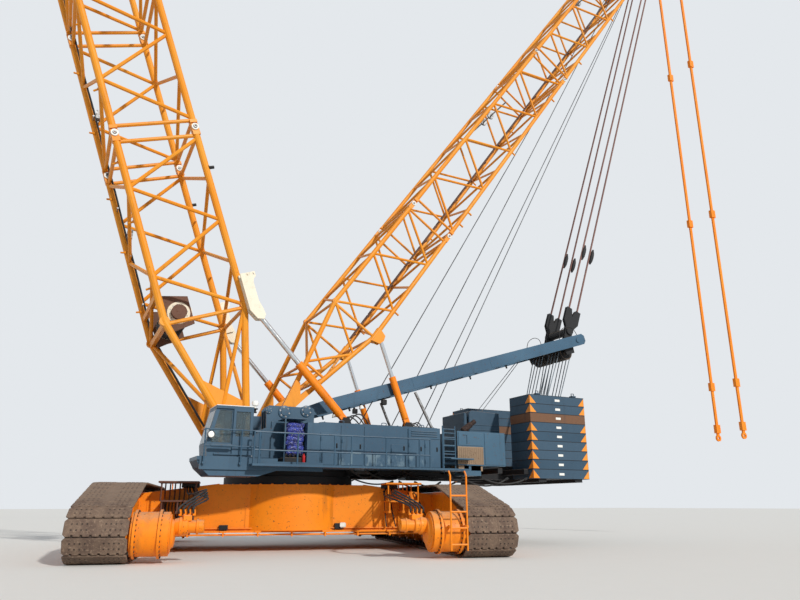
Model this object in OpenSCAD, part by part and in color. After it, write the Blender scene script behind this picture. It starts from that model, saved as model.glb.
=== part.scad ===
// Crawler crane with a lattice boom, a rear superlift mast and an A-frame, as a 1:2 model in millimetres.
// Origin: slewing axis at ground level. The boom and cab are at -X, the counterweight at +X, up is +Z.

/* [Undercarriage] */
// Angle that the undercarriage is turned away from square to the boom, degrees
travel_turn = -12; // [-30:1:30]
// Distance between the middles of the two tracks
gauge = 5310; // [4800:10:6000]
// Width of a track shoe
shoe_w = 765; // [600:5:900]
// Overall length of a track
track_len = 6700; // [6000:20:7400]
// Height of a track over its end wheels
track_end_h = 730; // [620:5:800]
// Height of the level part of the upper run
track_top_h = 1070; // [980:5:1160]
// Length of the level part of the upper run
track_top_len = 3300; // [2400:20:3800]
// Pitch of the track shoes
shoe_pitch = 228; // [180:2:280]
// Thickness of a shoe plate
shoe_t = 38; // [25:1:50]
// Height of the chain links below a shoe
link_h = 62; // [40:1:80]
// Width of the box frame inside a track
side_frame_w = 420; // [320:10:500]
// Underside of the car body
car_z0 = 330; // [260:10:450]
// Top of the car body in the middle
car_z1 = 1060; // [960:5:1060]
// Width of the car body along the tracks
car_w = 1900; // [1500:20:2300]

/* [Slewing ring] */
// Outer diameter of the fixed ring
ring_d = 2300; // [2000:20:2400]
// Height of the fixed ring
ring_h = 135; // [110:5:140]
// Gap between the fixed ring and the turning ring
ring_gap = 5; // [5:1:8]

/* [Superstructure] */
// Underside of the turntable's bottom plate
table_z = 1320; // [1318:1:1330]
// Thickness of the turntable's bottom plate
table_t = 60; // [40:5:80]
// Top of the machinery houses
house_z1 = 2070; // [1900:10:2180]
// Rear end of the machinery houses
house_x1 = 2370; // [2100:10:2500]
// Outer side of the machinery houses from the middle
house_y = 1455; // [1350:5:1560]
// Outer edge of the side walkways from the middle
walk_y = 1850; // [1700:10:1950]
// Outer side of the cab from the middle
cab_y = 1600; // [1550:5:1650]
// Width of the cab
cab_w = 600; // [560:5:610]
// Height of the cab's roof above the ground
cab_z1 = 2230; // [2150:5:2350]
// Wall thickness of the cab
cab_wall = 25; // [18:1:32]

/* [Counterweight] */
// Number of slabs in each stack
slab_n = 9; // [5:1:10]
// Thickness of a slab
slab_t = 180; // [140:5:200]
// Inner side of a stack from the middle
stack_y0 = 820; // [810:5:900]
// Outer side of a stack from the middle
stack_y1 = 1500; // [1350:10:1650]
// Front of the stacks
stack_x0 = 4380; // [4200:10:4600]
// Length of the stacks
stack_len = 1360; // [1200:10:1500]

/* [Boom] */
// Angle of the boom above the horizontal, degrees
boom_angle = 70.6; // [60:0.1:80]
// Height of the boom's foot pins
boom_pin_z = 1455; // [1440:5:1480]
// Distance of the boom's foot pins in front of the slewing axis
boom_pin_x = 1020; // [1000:5:1060]
// Half of the distance between the side faces of the boom
boom_hw = 890; // [880:1:895]
// Distance between the front and rear chords
boom_depth = 1394; // [1200:10:1500]
// Diameter of the boom's chords
boom_chord = 130; // [100:2:140]
// Diameter of the boom's braces
boom_brace = 70; // [50:2:80]
// Length of the tapered part of the foot section
boom_kink = 2580; // [2300:20:2800]

/* [Mast] */
// Angle of the mast above the horizontal, towards the rear, degrees
mast_angle = 54.5; // [50:0.1:60]
// Height of the mast's foot pins
mast_pin_z = 2270; // [2240:5:2290]
// Distance of the mast's foot pins in front of the slewing axis
mast_pin_x = 420; // [400:5:440]
// Half of the distance between the side faces of the mast
mast_hw = 855; // [850:1:858]
// Distance between the upper and lower chords of the mast
mast_depth = 1020; // [900:10:1100]
// Diameter of the mast's chords
mast_chord = 92; // [80:2:96]
// Diameter of the mast's braces
mast_brace = 52; // [40:2:60]
// Length of the tapered part of the mast's foot section
mast_kink = 2280; // [2000:20:2500]

/* [A-frame] */
// Angle of the A-frame above the horizontal, degrees
aframe_angle = 17.3; // [15:0.1:20]
// Length of the A-frame from its pins to its tip
aframe_len = 6890; // [6600:10:7100]
// Middle of a beam from the centre plane
aframe_y = 720; // [715:1:722]
// Width of a beam
aframe_beam_w = 120; // [90:2:122]
// Height of a beam
aframe_beam_h = 240; // [200:5:260]

/* [Cylinders] */
// Outer diameter of the boom stop's barrel
bstop_d = 150; // [120:2:150]
// Outer diameter of the mast stop's barrel
mstop_d = 130; // [100:2:134]
// Share of the rod's diameter in its barrel's
rod_share = 0.6; // [0.5:0.01:0.7]

/* [Hidden] */

orange = "#e07b1c";
golden = "#e8a12a";
blue = "#31566e";
dark = "#26282b";
dusty = "#7d7166";
cream = "#e9e1cd";
chrome = "#c9ccd0";

// Gap between pieces that seat on each other
seat_gap = 0.4;

// Helpers

// Facets of a lattice chord and of a lattice brace
chord_fn = 12;
brace_fn = 8;

// Bar from point a to point b, its facets turned about its own axis
module bar(a, b, d, fn = 32, turn = 0) {
    v = b - a;
    translate(a)
        rotate([0, acos(v.z / norm(v)), atan2(v.y, v.x)])
            rotate([0, 0, turn])
                cylinder(h = norm(v), d = d, $fn = fn);
}

// Brace square to the chords, with its flats where a slanting brace has its edges
module straight_brace(a, b, d) {
    bar(a, b, d, brace_fn, 180 / brace_fn);
}

// Outline in X and Z, given a thickness along Y about y
module plate_xz(y, t, points) {
    translate([0, y + t / 2, 0])
        rotate([90, 0, 0])
            linear_extrude(t)
                polygon(points);
}

// Round boss or pin along Y, centred on y
module pin_y(x, y, z, d, w, fn = 32) {
    translate([x, y + w / 2, z])
        rotate([90, 0, 0])
            cylinder(h = w, d = d, $fn = fn);
}

// Box from its lowest corner to its highest corner
module block(lo, hi) {
    translate(lo)
        cube(hi - lo);
}

// Both sides of the machine
module both_sides() {
    children();
    mirror([0, 1, 0])
        children();
}

// Undercarriage frame: x across the tracks, y along them
module travel_frame() {
    rotate([0, 0, travel_turn])
        children();
}

// Track: a belt round four circles, each row [y, z, radius], counterclockwise
end_r = track_end_h / 2 - shoe_t;
end_y = track_len / 2 - track_end_h / 2;
top_r = 200;
wheels = [
    [-end_y, end_r + shoe_t, end_r],
    [end_y, end_r + shoe_t, end_r],
    [track_top_len / 2, track_top_h - shoe_t - top_r, top_r],
    [-track_top_len / 2, track_top_h - shoe_t - top_r, top_r]
];
function tangent(a, b) =
    let (v = [b[0] - a[0], b[1] - a[1]])
    atan2(v[1], v[0]) - acos((a[2] - b[2]) / norm(v));
function turn_up(a, b) = b < a ? turn_up(a, b + 360) : b;
arc_steps = 24;
function belt_arc(i) =
    let (
        n = len(wheels),
        w = wheels[i],
        from = tangent(wheels[(i + n - 1) % n], w),
        to = turn_up(from, tangent(w, wheels[(i + 1) % n]))
    )
    [for (k = [0:arc_steps])
        let (a = from + (to - from) * k / arc_steps)
        [w[0] + w[2] * cos(a), w[1] + w[2] * sin(a)]];
belt = [for (i = [0:len(wheels) - 1]) each belt_arc(i)];
function run_length(i) = norm(belt[(i + 1) % len(belt)] - belt[i]);
function sums(i, total) = i == len(belt) ? [total] : concat([total], sums(i + 1, total + run_length(i)));
marks = sums(0, 0);
belt_len = marks[len(belt)];
function piece_at(s, i = 0) = marks[i + 1] >= s ? i : piece_at(s, i + 1);
function on_belt(s, out) =
    let (
        t = (s + belt_len) % belt_len,
        i = piece_at(t),
        a = belt[i],
        b = belt[(i + 1) % len(belt)],
        u = (b - a) / norm(b - a)
    )
    a + u * (t - marks[i]) + [u[1], -u[0]] * out;
shoe_n = round(belt_len / shoe_pitch);
shoe_step = belt_len / shoe_n;
// One shoe in the outline: [place along the pitch, height above the links]
shoe_shape = [[0.04, 0], [0.08, 1], [0.92, 1], [0.96, 0]];

module track_outline() {
    difference() {
        polygon([
            for (i = [0:shoe_n - 1])
                for (p = shoe_shape)
                    on_belt((i + p[0]) * shoe_step, p[1] * shoe_t)
        ]);
        offset_in(link_h);
    }
}

// The belt line moved inwards by d
inner_steps = 4;
module offset_in(d) {
    polygon([for (i = [0:shoe_n * inner_steps - 1]) on_belt(i * shoe_step / inner_steps, -d)]);
}

module track(side) {
    color(dusty)
        travel_frame()
            translate([side * gauge / 2 - shoe_w / 2, 0, 0])
                rotate([90, 0, 90])
                    linear_extrude(shoe_w)
                        track_outline();
}

// Side frame: box beam between the runs, end wheels, rollers and their axles
wheel_gap = 4;
wheel_r = end_r - link_h - wheel_gap;
roller_n = 9;
roller_r = 85;
roller_span = 4700;
frame_end = end_y - wheel_r - 60;
module side_frame(side) {
    color(orange)
        travel_frame()
            translate([side * gauge / 2, 0, 0])
                rotate([90, 0, 90])
                    side_frame_body();
}
module side_frame_body() {
    roller_z = shoe_t + link_h + seat_gap + roller_r;
    top_z = track_top_h - shoe_t - link_h - 25;
    translate([0, 0, -side_frame_w / 2])
        linear_extrude(side_frame_w)
            polygon([
                [-end_y, 300], [-frame_end, roller_z], [frame_end, roller_z], [end_y, 300],
                [end_y, 430], [track_top_len / 2, top_z], [-track_top_len / 2, top_z], [-end_y, 430]
            ]);
    for (i = [0:roller_n - 1])
        translate([(i / (roller_n - 1) - 0.5) * roller_span, roller_z, -side_frame_w / 2 - 60])
            cylinder(h = side_frame_w + 120, r = roller_r, $fn = 24);
    for (s = [-1, 1])
        translate([s * end_y, end_r + shoe_t, -side_frame_w / 2 - axle_out])
            cylinder(h = side_frame_w + 2 * axle_out, r = wheel_r, $fn = 40);
}

// Final drives on the inner side of both ends of a track
axle_out = 90;
drum_d = 560;
drum_len = 470;
hub_d = 420;
flange_t = 32;
flange_out = 60;
motor_d = 165;
motor_len = 430;
motor_off = 90;
module drives(side) {
    inner = gauge / 2 - side_frame_w / 2 - axle_out;
    hub_len = (shoe_w - side_frame_w) / 2 - axle_out + 10;
    color(orange)
        travel_frame()
            for (s = [-1, 1])
                translate([side * inner, s * end_y, end_r + shoe_t])
                    rotate([0, -side * 90, 0]) {
                        cylinder(h = hub_len + 1, d = hub_d, $fn = 48);
                        translate([0, 0, hub_len])
                            cylinder(h = drum_len, d = drum_d, $fn = 48);
                        for (z = [hub_len + flange_t, hub_len + drum_len * 0.72])
                            translate([0, 0, z])
                                cylinder(h = flange_t, d = drum_d + flange_out, $fn = 48);
                        translate([side * motor_off, 0, hub_len + drum_len - 1])
                            cylinder(h = motor_len, d = motor_d, $fn = 32);
                        translate([side * motor_off, 0, hub_len + drum_len + motor_len / 3])
                            cylinder(h = flange_t, d = motor_d + flange_out, $fn = 32);
                    }
}

// Car body: centre box, sloping arms, flanges
arm_x = gauge / 2 - side_frame_w / 2;
arm_z = 900;
module car_body() {
    color(orange)
        travel_frame() {
            translate([0, car_w / 2, 0])
                rotate([90, 0, 0])
                    linear_extrude(car_w)
                        polygon([
                            [-arm_x, car_z0], [arm_x, car_z0], [arm_x, arm_z], [ring_d / 2 + 60, car_z1],
                            [-ring_d / 2 - 60, car_z1], [-arm_x, arm_z]
                        ]);
            block([-arm_x, -car_w / 2 - 70, car_z0 - 30], [arm_x, car_w / 2 + 70, car_z0]);
            cylinder_body();
        }
}
module cylinder_body() {
    translate([0, 0, car_z0])
        cylinder(h = car_z1 - car_z0, d = ring_d + 60, $fn = 64);
}

ring_wall = 250;
module slew_ring() {
    color(dark)
        translate([0, 0, car_z1 + seat_gap])
            difference() {
                union() {
                    cylinder(h = ring_h - seat_gap, d = ring_d, $fn = 96);
                    cylinder(h = ring_h - seat_gap + ring_gap, d = ring_d - ring_wall, $fn = 96);
                }
                translate([0, 0, -1])
                    cylinder(h = ring_h + ring_gap + 2, d = ring_d - 2 * ring_wall, $fn = 96);
            }
}

// Landings beside the car body
landing_w = 420;
module landings() {
    color(dark)
        travel_frame()
            for (s = [-1, 1])
                translate([s * (arm_x - 620), -car_w / 2 - landing_w, arm_z - 120]) {
                    block([-260, 0, 0], [260, landing_w, 25]);
                    for (x = [-250, 210])
                        block([x, landing_w - 160, -140], [x + 40, landing_w, 1]);
                }
}

// Superstructure
table_y = 1130;
girder_y = 620;
nose_x = -1180;
table_x0 = -700;
table_x1 = 2700;
module turntable() {
    ring_z = car_z1 + ring_h + ring_gap;
    color(blue) {
        translate([0, 0, ring_z])
            cylinder(h = table_z - ring_z, d = ring_d - 60, $fn = 96);
        block([table_x0, -table_y, table_z], [table_x1, table_y, table_z + table_t]);
        both_sides() {
            block([200, 800, table_z + table_t], [house_x1, table_y, house_z1]);
            stop_lugs(bstop_base, bstop_y, bstop_d);
            stop_lugs(mstop_base, mstop_y, mstop_d);
        }
    }
}

// Lugs on the deck beam, with the pin, for the foot of a stop cylinder
lug_gap = 5;
lug_t = 30;
module stop_lugs(base, y, d) {
    eye_w = d * 0.6;
    for (s = [-1, 1])
        translate([0, y + s * (eye_w / 2 + lug_gap + lug_t / 2), 0])
            plate_xz(0, lug_t, [
                [base[0] - 110, house_z1], [base[0] + 110, house_z1], [base[0] + 55, base[1] + 50],
                [base[0] - 55, base[1] + 50]
            ]);
    pin_y(base[0], y, base[1], eye_pin_d, eye_w + 2 * (lug_gap + lug_t));
}

// Tall side brackets with the feet of the boom, the mast and the A-frame between their plates.
// Each row: [y of the plate's middle, thickness]
eye_pin_d = 60;
leg_t = 100;
mast_plates = [[mast_hw + leg_t / 2 + 25 + 2, 40], [mast_hw - leg_t / 2 - 12.5, 19], [638, 34]];
boom_plates = [[boom_hw + leg_t / 2 + 25, 40], [boom_hw - leg_t / 2 - 22.5, 35]];
bracket_top = 2370;
aframe_pin = [-30, 2305];
foot_pin_d = 110;
module foot_brackets() {
    color(blue)
        both_sides() {
            for (p = mast_plates)
                plate_xz(p[0], p[1], [
                    [-700, table_z + table_t], [120, table_z + table_t], [120, bracket_top - 30],
                    [90, bracket_top],
                    [-690, bracket_top], [-740, bracket_top - 60]
                ]);
            for (p = boom_plates)
                plate_xz(p[0], p[1], [
                    [nose_x, table_z], [table_x0 - seat_gap, table_z],
                    [table_x0 - seat_gap, table_z + table_t],
                    [-640, table_z + table_t], [-640, 1980], [-760, 1980], [nose_x, 1620]
                ]);
            block([-900, -1, table_z], [table_x0 - seat_gap, 810, 1600]);
            pin_y(-mast_pin_x, mast_hw, mast_pin_z, foot_pin_d, 260);
            pin_y(aframe_pin[0], aframe_y, aframe_pin[1], foot_pin_d, 200);
            pin_y(-boom_pin_x, boom_hw, boom_pin_z, foot_pin_d, 190);
        }
}

// Machinery house with panel joints cut into its side. Each row: x where a joint lies
panel_joints = [434, 865, 1705];
panel_cut = 10;
house_x0 = 60;
niche_x = -155;
niche_y = 1170;
module house(side) {
    color(blue)
        mirror([0, side > 0 ? 0 : 1, 0])
            difference() {
                union() {
                    block([house_x0, table_y, table_z - 10], [house_x1, house_y, house_z1]);
                    if (side < 0)
                        block([niche_x, niche_y, table_z + table_t + 15],
                            [house_x0 + 1, house_y, house_z1 - 15]);
                }
                for (x = panel_joints)
                    block([x, house_y - panel_cut, table_z + 60],
                        [x + panel_cut, house_y + 1, house_z1 - 40]);
            }
}

// Side walkways with their rails and the ladder behind each house. The left one runs on beside the cab
deck_top = 25;
rail_z = [1550, 1825];
rail_d = 24;
rail_in = 20;
rail_x1 = 1960;
post_x = [195, 490, 1120, 1750, rail_x1];
left_post_x = [-1130, -1050, -430];
left_deck_x = -1150;
ladder_x = [2440, 2700];
ladder_y = 1420;
rung_n = 5;

module rails(x0, x1, posts) {
    for (z = rail_z)
        bar([x0, walk_y - rail_in, z], [x1, walk_y - rail_in, z], rail_d, chord_fn);
    for (x = posts)
        bar([x, walk_y - rail_in, table_z + deck_top - 1], [x, walk_y - rail_in, rail_z[1]], rail_d + 4,
            chord_fn);
}
module walkways() {
    color(dark) {
        both_sides() {
            block([house_x0, house_y, table_z - 10], [house_x1 + 1, walk_y, table_z + deck_top]);
            block([house_x1, ladder_y - 60, table_z - 10], [ladder_x[1] + 40, walk_y, table_z + deck_top]);
            rails(post_x[0] - 100, rail_x1, post_x);
            for (x = ladder_x)
                bar([x, ladder_y, table_z + deck_top - 1], [x, ladder_y, house_z1 + 60], rail_d, chord_fn);
            for (i = [1:rung_n])
                bar([ladder_x[0], ladder_y, table_z + i * (house_z1 - table_z) / rung_n],
                    [ladder_x[1], ladder_y, table_z + i * (house_z1 - table_z) / rung_n], rail_d, chord_fn);
        }
        mirror([0, 1, 0]) {
            block([left_deck_x, cab_y + platform_out + 1, table_z - 10],
                [house_x0 + 1, walk_y, table_z + deck_top]);
            rails(left_post_x[0], post_x[0], left_post_x);
        }
    }
}

// Power packs beside the girders, each with a tank under it
pack_x = [2750, 3800];
pack_y = house_y - 30;
pack_z = [1430, 2050];
tank = [[2900, 1050, 1250], [3260, 1400, 1431]];
module power_pack() {
    color("#5b86a3")
        both_sides() {
            block([pack_x[0], girder_y + seat_gap, pack_z[0]], [pack_x[1], pack_y, pack_z[1]]);
            block([pack_x[0], winch_side + 18, table_z + girder_top + seat_gap],
                [pack_x[1], girder_y + 1, pack_z[1]]);
            block(tank[0], tank[1]);
        }
}

// Rear frame: two girders, cross trays for the stacks and the lower sheaves of the A-frame's ropes
rear_x1 = 5800;
girder_w = 220;
girder_drop = 100;
girder_top = 160;
tray_w = 180;
tray_t = 60;
low_sheaves = [5400, 1600];
low_sheave_y = [-300, -180, -60, 60, 180, 300];
low_sheave_d = 380;
module rear_frame() {
    inner = girder_y - girder_w;
    color(dark) {
        both_sides() {
            block([table_x1, inner, table_z - girder_drop], [rear_x1, girder_y, table_z + girder_top]);
            block([low_sheaves[0] - 60, inner - 20, table_z + 40],
                [low_sheaves[0] + 60, inner + 20, low_sheaves[1] + 60]);
        }
        for (x = [stack_x0 + 150, stack_x0 + stack_len - 150 - tray_w])
            block([x, -stack_y1 + 40, table_z - girder_drop - tray_t],
                [x + tray_w, stack_y1 - 40, table_z - girder_drop]);
        block([low_sheaves[0] - 200, -inner - 1, table_z - 60],
            [low_sheaves[0] + 200, inner + 1, table_z + 60]);
        for (y = low_sheave_y)
            pin_y(low_sheaves[0], y, low_sheaves[1], low_sheave_d, 60, 40);
        pin_y(low_sheaves[0], 0, low_sheaves[1], 70, 2 * inner + 60);
    }
}

module counterweight(side) {
    color(blue)
        mirror([0, side > 0 ? 0 : 1, 0])
            for (i = [0:slab_n - 1])
                block([stack_x0, stack_y0, table_z - girder_drop + i * slab_t],
                      [stack_x0 + stack_len, stack_y1,
                          table_z - girder_drop + (i + 1) * slab_t - seat_gap]);
}

// Cab: hollow shell with its windows cut. The outline is [x, z]
cab_z0 = 1445;
cab_back = -1110;
cab_nose = -1820;
cab_brow = -1690;
cab_chin_z = 1640;
cab_shape = [[cab_back, cab_z0], [cab_nose + 20, cab_z0], [cab_nose, cab_chin_z], [cab_brow, cab_z1],
    [cab_back, cab_z1]];
cab_y0 = -cab_y;
cab_y1 = -cab_y + cab_w;
sill_z = 1660;
lintel_z = cab_z1 - 70;
module cab() {
    w = cab_wall;
    mid = (cab_y0 + cab_y1) / 2;
    color(blue)
        difference() {
            plate_xz(mid, cab_w, cab_shape);
            plate_xz(mid, cab_w - 2 * w, [
                [cab_back - w, cab_z0 + w], [cab_nose + 20 + w, cab_z0 + w], [cab_nose + w, cab_chin_z],
                [cab_brow + w, cab_z1 - w], [cab_back - w, cab_z1 - w]
            ]);
            // door opening and side window, both sides
            block([-1400, cab_y0 - 1, 1520], [-1150, cab_y0 + w + 1, lintel_z]);
            plate_xz(mid, cab_w + 4,
                [[-1450, sill_z], [cab_nose + 60, sill_z], [cab_brow + 40, lintel_z], [-1450, lintel_z]]);
            // windscreen, rear window and roof window
            block([cab_nose - 1, cab_y0 + 60, sill_z], [-1640, cab_y1 - 60, lintel_z]);
            block([cab_back - w - 1, cab_y0 + 80, 1800], [cab_back + 1, cab_y1 - 80, lintel_z - 20]);
            block([-1600, cab_y0 + 100, cab_z1 - w - 1], [-1250, cab_y1 - 100, cab_z1 + 1]);
        }
    // rails of the sliding door
    color(dark)
        for (z = [door_z[0] - seat_gap - rail_h, door_z[1] + seat_gap])
            block([door_x[0] - door_slide, cab_y0 - door_gap - door_t, z],
                [door_x[1], cab_y0 + 1, z + rail_h]);
}

// Door in the cab's side, which slides forwards on its rails
door_x = [-1430, -1125];
door_z = [1490, cab_z1 - 45];
door_rim = 40;
door_t = 25;
door_gap = 5;
door_slide = 270;
rail_h = 14;
module cab_door() {
    color(blue)
        difference() {
            block([door_x[0], cab_y0 - door_gap - door_t, door_z[0]],
                [door_x[1], cab_y0 - door_gap, door_z[1]]);
            block([door_x[0] + door_rim, cab_y0 - door_gap - door_t - 1, 1760],
                  [door_x[1] - door_rim, cab_y0 - door_gap + 1, door_z[1] - door_rim]);
        }
}

// Platform that carries the cab, with the deep bracket under it and the beam along its outer edge
platform_out = 60;
platform_x0 = -1950;
platform_y = 985.4;
platform_z = [1390, cab_z0 - seat_gap];
bracket_z = 1160;
edge_beam = [1250, 35];
module cab_platform() {
    outer = cab_y + platform_out;
    rear = house_x0 - seat_gap;
    color(dark) {
        block([platform_x0, -outer, platform_z[0]], [table_x0 + 1, -platform_y, platform_z[1]]);
        plate_xz(-(outer + platform_y) / 2, outer - platform_y - 60, [
            [platform_x0, platform_z[0]], [table_x0, platform_z[0]], [table_x0, bracket_z + 90],
            [-1000, bracket_z],
            [-1750, bracket_z], [platform_x0 + 60, bracket_z + 120]
        ]);
        block([table_x0, -outer, table_z + 10], [rear, -table_y - seat_gap, platform_z[0]]);
        block([platform_x0 + 40, -outer, edge_beam[0]], [rear, -outer + edge_beam[1], platform_z[0]]);
    }
}

// Deck winches between the girders. Each row: [x, drum diameter, height of the shaft, height of its seat]
winches = [
    [900, 460, 1720, table_z + table_t],
    [1700, 460, 1720, table_z + table_t],
    [2420, 420, 1700, table_z + table_t],
    [3050, 380, 1760, table_z + girder_top],
    [3780, 300, 2330, table_z + girder_top]
];
winch_side = 432;
winch_foot = 150;
drum_half = 350;
shaft_w = 90;
module deck_winches() {
    color(dusty)
        for (w = winches) {
            pin_y(w[0], 0, w[2], w[1], 2 * drum_half, 48);
            pin_y(w[0], 0, w[2], shaft_w, 2 * winch_side, 32);
            for (y = [-drum_half, drum_half])
                pin_y(w[0], y, w[2], w[1] + 140, 40, 48);
            both_sides()
                plate_xz(winch_side - 12, 24, [
                    [w[0] - winch_foot, w[3]], [w[0] + winch_foot, w[3]], [w[0] + 80, w[2] + 80],
                    [w[0] - 80, w[2] + 80]
                ]);
        }
}

// Lattice work

// A frame that leans: origin at a foot pin, local z along the boom or mast, local x to the rear or below
module lean(x, z, tilt) {
    translate([x, 0, z])
        rotate([0, tilt, 0])
            children();
}

// Fork and eye that pin two sections together, and the pin, at height s on a chord
fork_len = 150;
module fork_end(x, y, s, d) {
    for (side = [-1, 1])
        translate([x - d / 2, y + side * d * 0.35 - d * 0.1, s - fork_len])
            cube([d, d * 0.2, fork_len + d / 2]);
    translate([x, y, s - fork_len - 1])
        translate([-d / 2, -d / 2, 0])
            cube([d, d, 60]);
    pin_y(x, y, s, d * 0.5, d * 1.3, 24);
}
module eye_end(x, y, s, d) {
    difference() {
        translate([x - d / 2, y - d * 0.2, s - d / 2])
            cube([d, d * 0.4, fork_len + d / 2]);
        pin_y(x, y, s, d * 0.5 + 1, d * 2, 24);
    }
    translate([x - d / 2, y - d / 2, s + fork_len - 60])
        cube([d, d, 60]);
}

// Straight section from s0 to s1 with half width hw and depth dp, with zig-zag braces in all four faces.
// They start at the rear chord where first is 1, at the front one where it is -1.
// lower and upper say whether the ends are pinned
end_run = 200;
brace_apart = 0.7;
module lattice(s0, s1, hw, dp, chord, brace, bays, first = 1, lower = true, upper = true) {
    a = lower ? s0 + fork_len - 60 : s0;
    b = upper ? s1 - fork_len : s1;
    for (x = [-dp / 2, dp / 2])
        for (y = [-hw, hw]) {
            bar([x, y, a], [x, y, b], chord, chord_fn);
            if (lower) eye_end(x, y, s0, chord);
            if (upper) fork_end(x, y, s1, chord);
        }
    lo = lower ? s0 + end_run : s0;
    hi = upper ? s1 - end_run : s1;
    step = (hi - lo) / bays;
    for (z = [lo - brace * brace_apart, hi + brace * brace_apart]) {
        for (x = [-dp / 2, dp / 2])
            straight_brace([x, -hw, z], [x, hw, z], brace);
        for (y = [-hw, hw])
            straight_brace([-dp / 2, y, z], [dp / 2, y, z], brace);
    }
    for (i = [0:bays - 1]) {
        up = (i % 2 == 0 ? -1 : 1) * first;
        for (y = [-hw, hw])
            bar([-up * dp / 2, y, lo + i * step], [up * dp / 2, y, lo + (i + 1) * step], brace, brace_fn);
        for (x = [-dp / 2, dp / 2])
            bar([x, -up * hw, lo + i * step], [x, up * hw, lo + (i + 1) * step], brace, brace_fn);
    }
}

// Foot section: two plate legs with a gusset between them, tapered in side view from the pins to the kink,
// then straight to s1. The table taper has the nodes of the zig-zag in the tapered side:
// [share of the kink's height, side]
notch = 0.72;
module foot_section(kink, s1, hw, dp, chord, brace, bays, leg_top, taper, first) {
    spread = dp / 2 * leg_top / kink;
    low = taper[0][0];
    cross = low - brace * brace_apart / kink;
    for (y = [-hw, hw]) {
        difference() {
            union() {
                pin_y(0, y, 0, foot_pin_d + 110, leg_t, 40);
                plate_xz(y, leg_t, [
                    [-70, 0], [70, 0], [spread + chord / 2, leg_top], [spread - chord / 2, leg_top],
                    [spread * notch - chord / 2, leg_top * notch], [chord / 2 - spread, leg_top],
                    [-spread - chord / 2, leg_top]
                ]);
            }
            pin_y(0, y, 0, foot_pin_d + 1, leg_t + 2, 40);
        }
        for (x = [-1, 1])
            bar([x * spread, y, leg_top - 40], [x * dp / 2, y, kink], chord, chord_fn);
        straight_brace([-dp / 2 * cross, y, kink * cross], [dp / 2 * cross, y, kink * cross], brace);
        for (i = [1:len(taper) - 1])
            bar([taper[i - 1][1] * dp / 2 * taper[i - 1][0], y, kink * taper[i - 1][0]],
                [taper[i][1] * dp / 2 * taper[i][0], y, kink * taper[i][0]], brace, brace_fn);
        for (x = [-dp / 2, dp / 2])
            pin_y(x, y, kink, chord * 1.3, chord * 0.8, chord_fn);
    }
    for (x = [-1, 1]) {
        straight_brace([x * dp / 2 * cross, -hw, kink * cross], [x * dp / 2 * cross, hw, kink * cross],
            brace);
        bar([x * dp / 2 * low, -hw, kink * low], [x * dp / 2, hw, kink], brace, brace_fn);
    }
    lattice(kink, s1, hw, dp, chord, brace, bays, first, false, true);
}

// Boom stations: where its sections meet
boom_s = [0, 6000, 9000, 15000, 21000, 27000];
boom_taper = [[0.31, -1], [1, 1]];
module on_boom() {
    lean(-boom_pin_x, boom_pin_z, boom_angle - 90)
        children();
}
module boom_foot() {
    color(golden)
        on_boom()
            union() {
                foot_section(boom_kink, boom_s[1], boom_hw, boom_depth, boom_chord, boom_brace, 4, 700,
                    boom_taper, 1);
                for (z = winch_beams)
                    block([-boom_depth / 2 - beam_half, -boom_hw, z - beam_half],
                          [-boom_depth / 2 + beam_half, boom_hw, z + beam_half]);
            }
}

// Heads on the rear chords, each with the open eye of a boom stop between two plates. Outline: [x, height]
stop_head = [
    [700, 2420], [790, 2250], [900, 2215], [950, 2290], [935, 2400], [895, 2560], [895, 2900], [915, 2960],
    [965, 3000], [965, 3090], [700, 3090]
];
stop_head_core = [[700, 2450], [880, 2450], [880, 3000], [700, 3000]];
stop_head_holes = [[812, 3045], [922, 3045]];
module boom_stop_heads() {
    inner = bstop_y - bstop_eye_w / 2 - lug_gap;
    outer = bstop_y + bstop_eye_w / 2 + lug_gap;
    cheek = inner - boom_hw - 40;
    past = 1 + lug_gap / boom_kink;
    color(cream)
        on_boom()
            both_sides()
                difference() {
                    union() {
                        plate_xz(inner - cheek / 2, cheek, stop_head);
                        plate_xz(outer + lug_t / 2, lug_t, stop_head);
                        plate_xz((boom_hw + outer) / 2, outer - boom_hw + 2, stop_head_core);
                    }
                    for (h = stop_head_holes)
                        pin_y(h[0], outer, h[1], 44, 4 * lug_gap + 4 * lug_t, 24);
                    bar([boom_depth / 2, boom_hw, boom_kink], [boom_depth / 2, boom_hw, boom_s[1]],
                        boom_chord + 4 * seat_gap, chord_fn);
                    bar([0, boom_hw, 0], [boom_depth / 2 * past, boom_hw, boom_kink * past],
                        boom_chord + 4 * seat_gap, chord_fn);
                    pin_y(boom_depth / 2, boom_hw, boom_kink, boom_chord * 1.3 + 4 * seat_gap,
                        boom_chord * 0.8 + 4 * seat_gap, chord_fn);
                }
}
module boom_insert(i, bays) {
    color(golden)
        on_boom()
            lattice(boom_s[i], boom_s[i + 1], boom_hw, boom_depth, boom_chord, boom_brace, bays);
}

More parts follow.
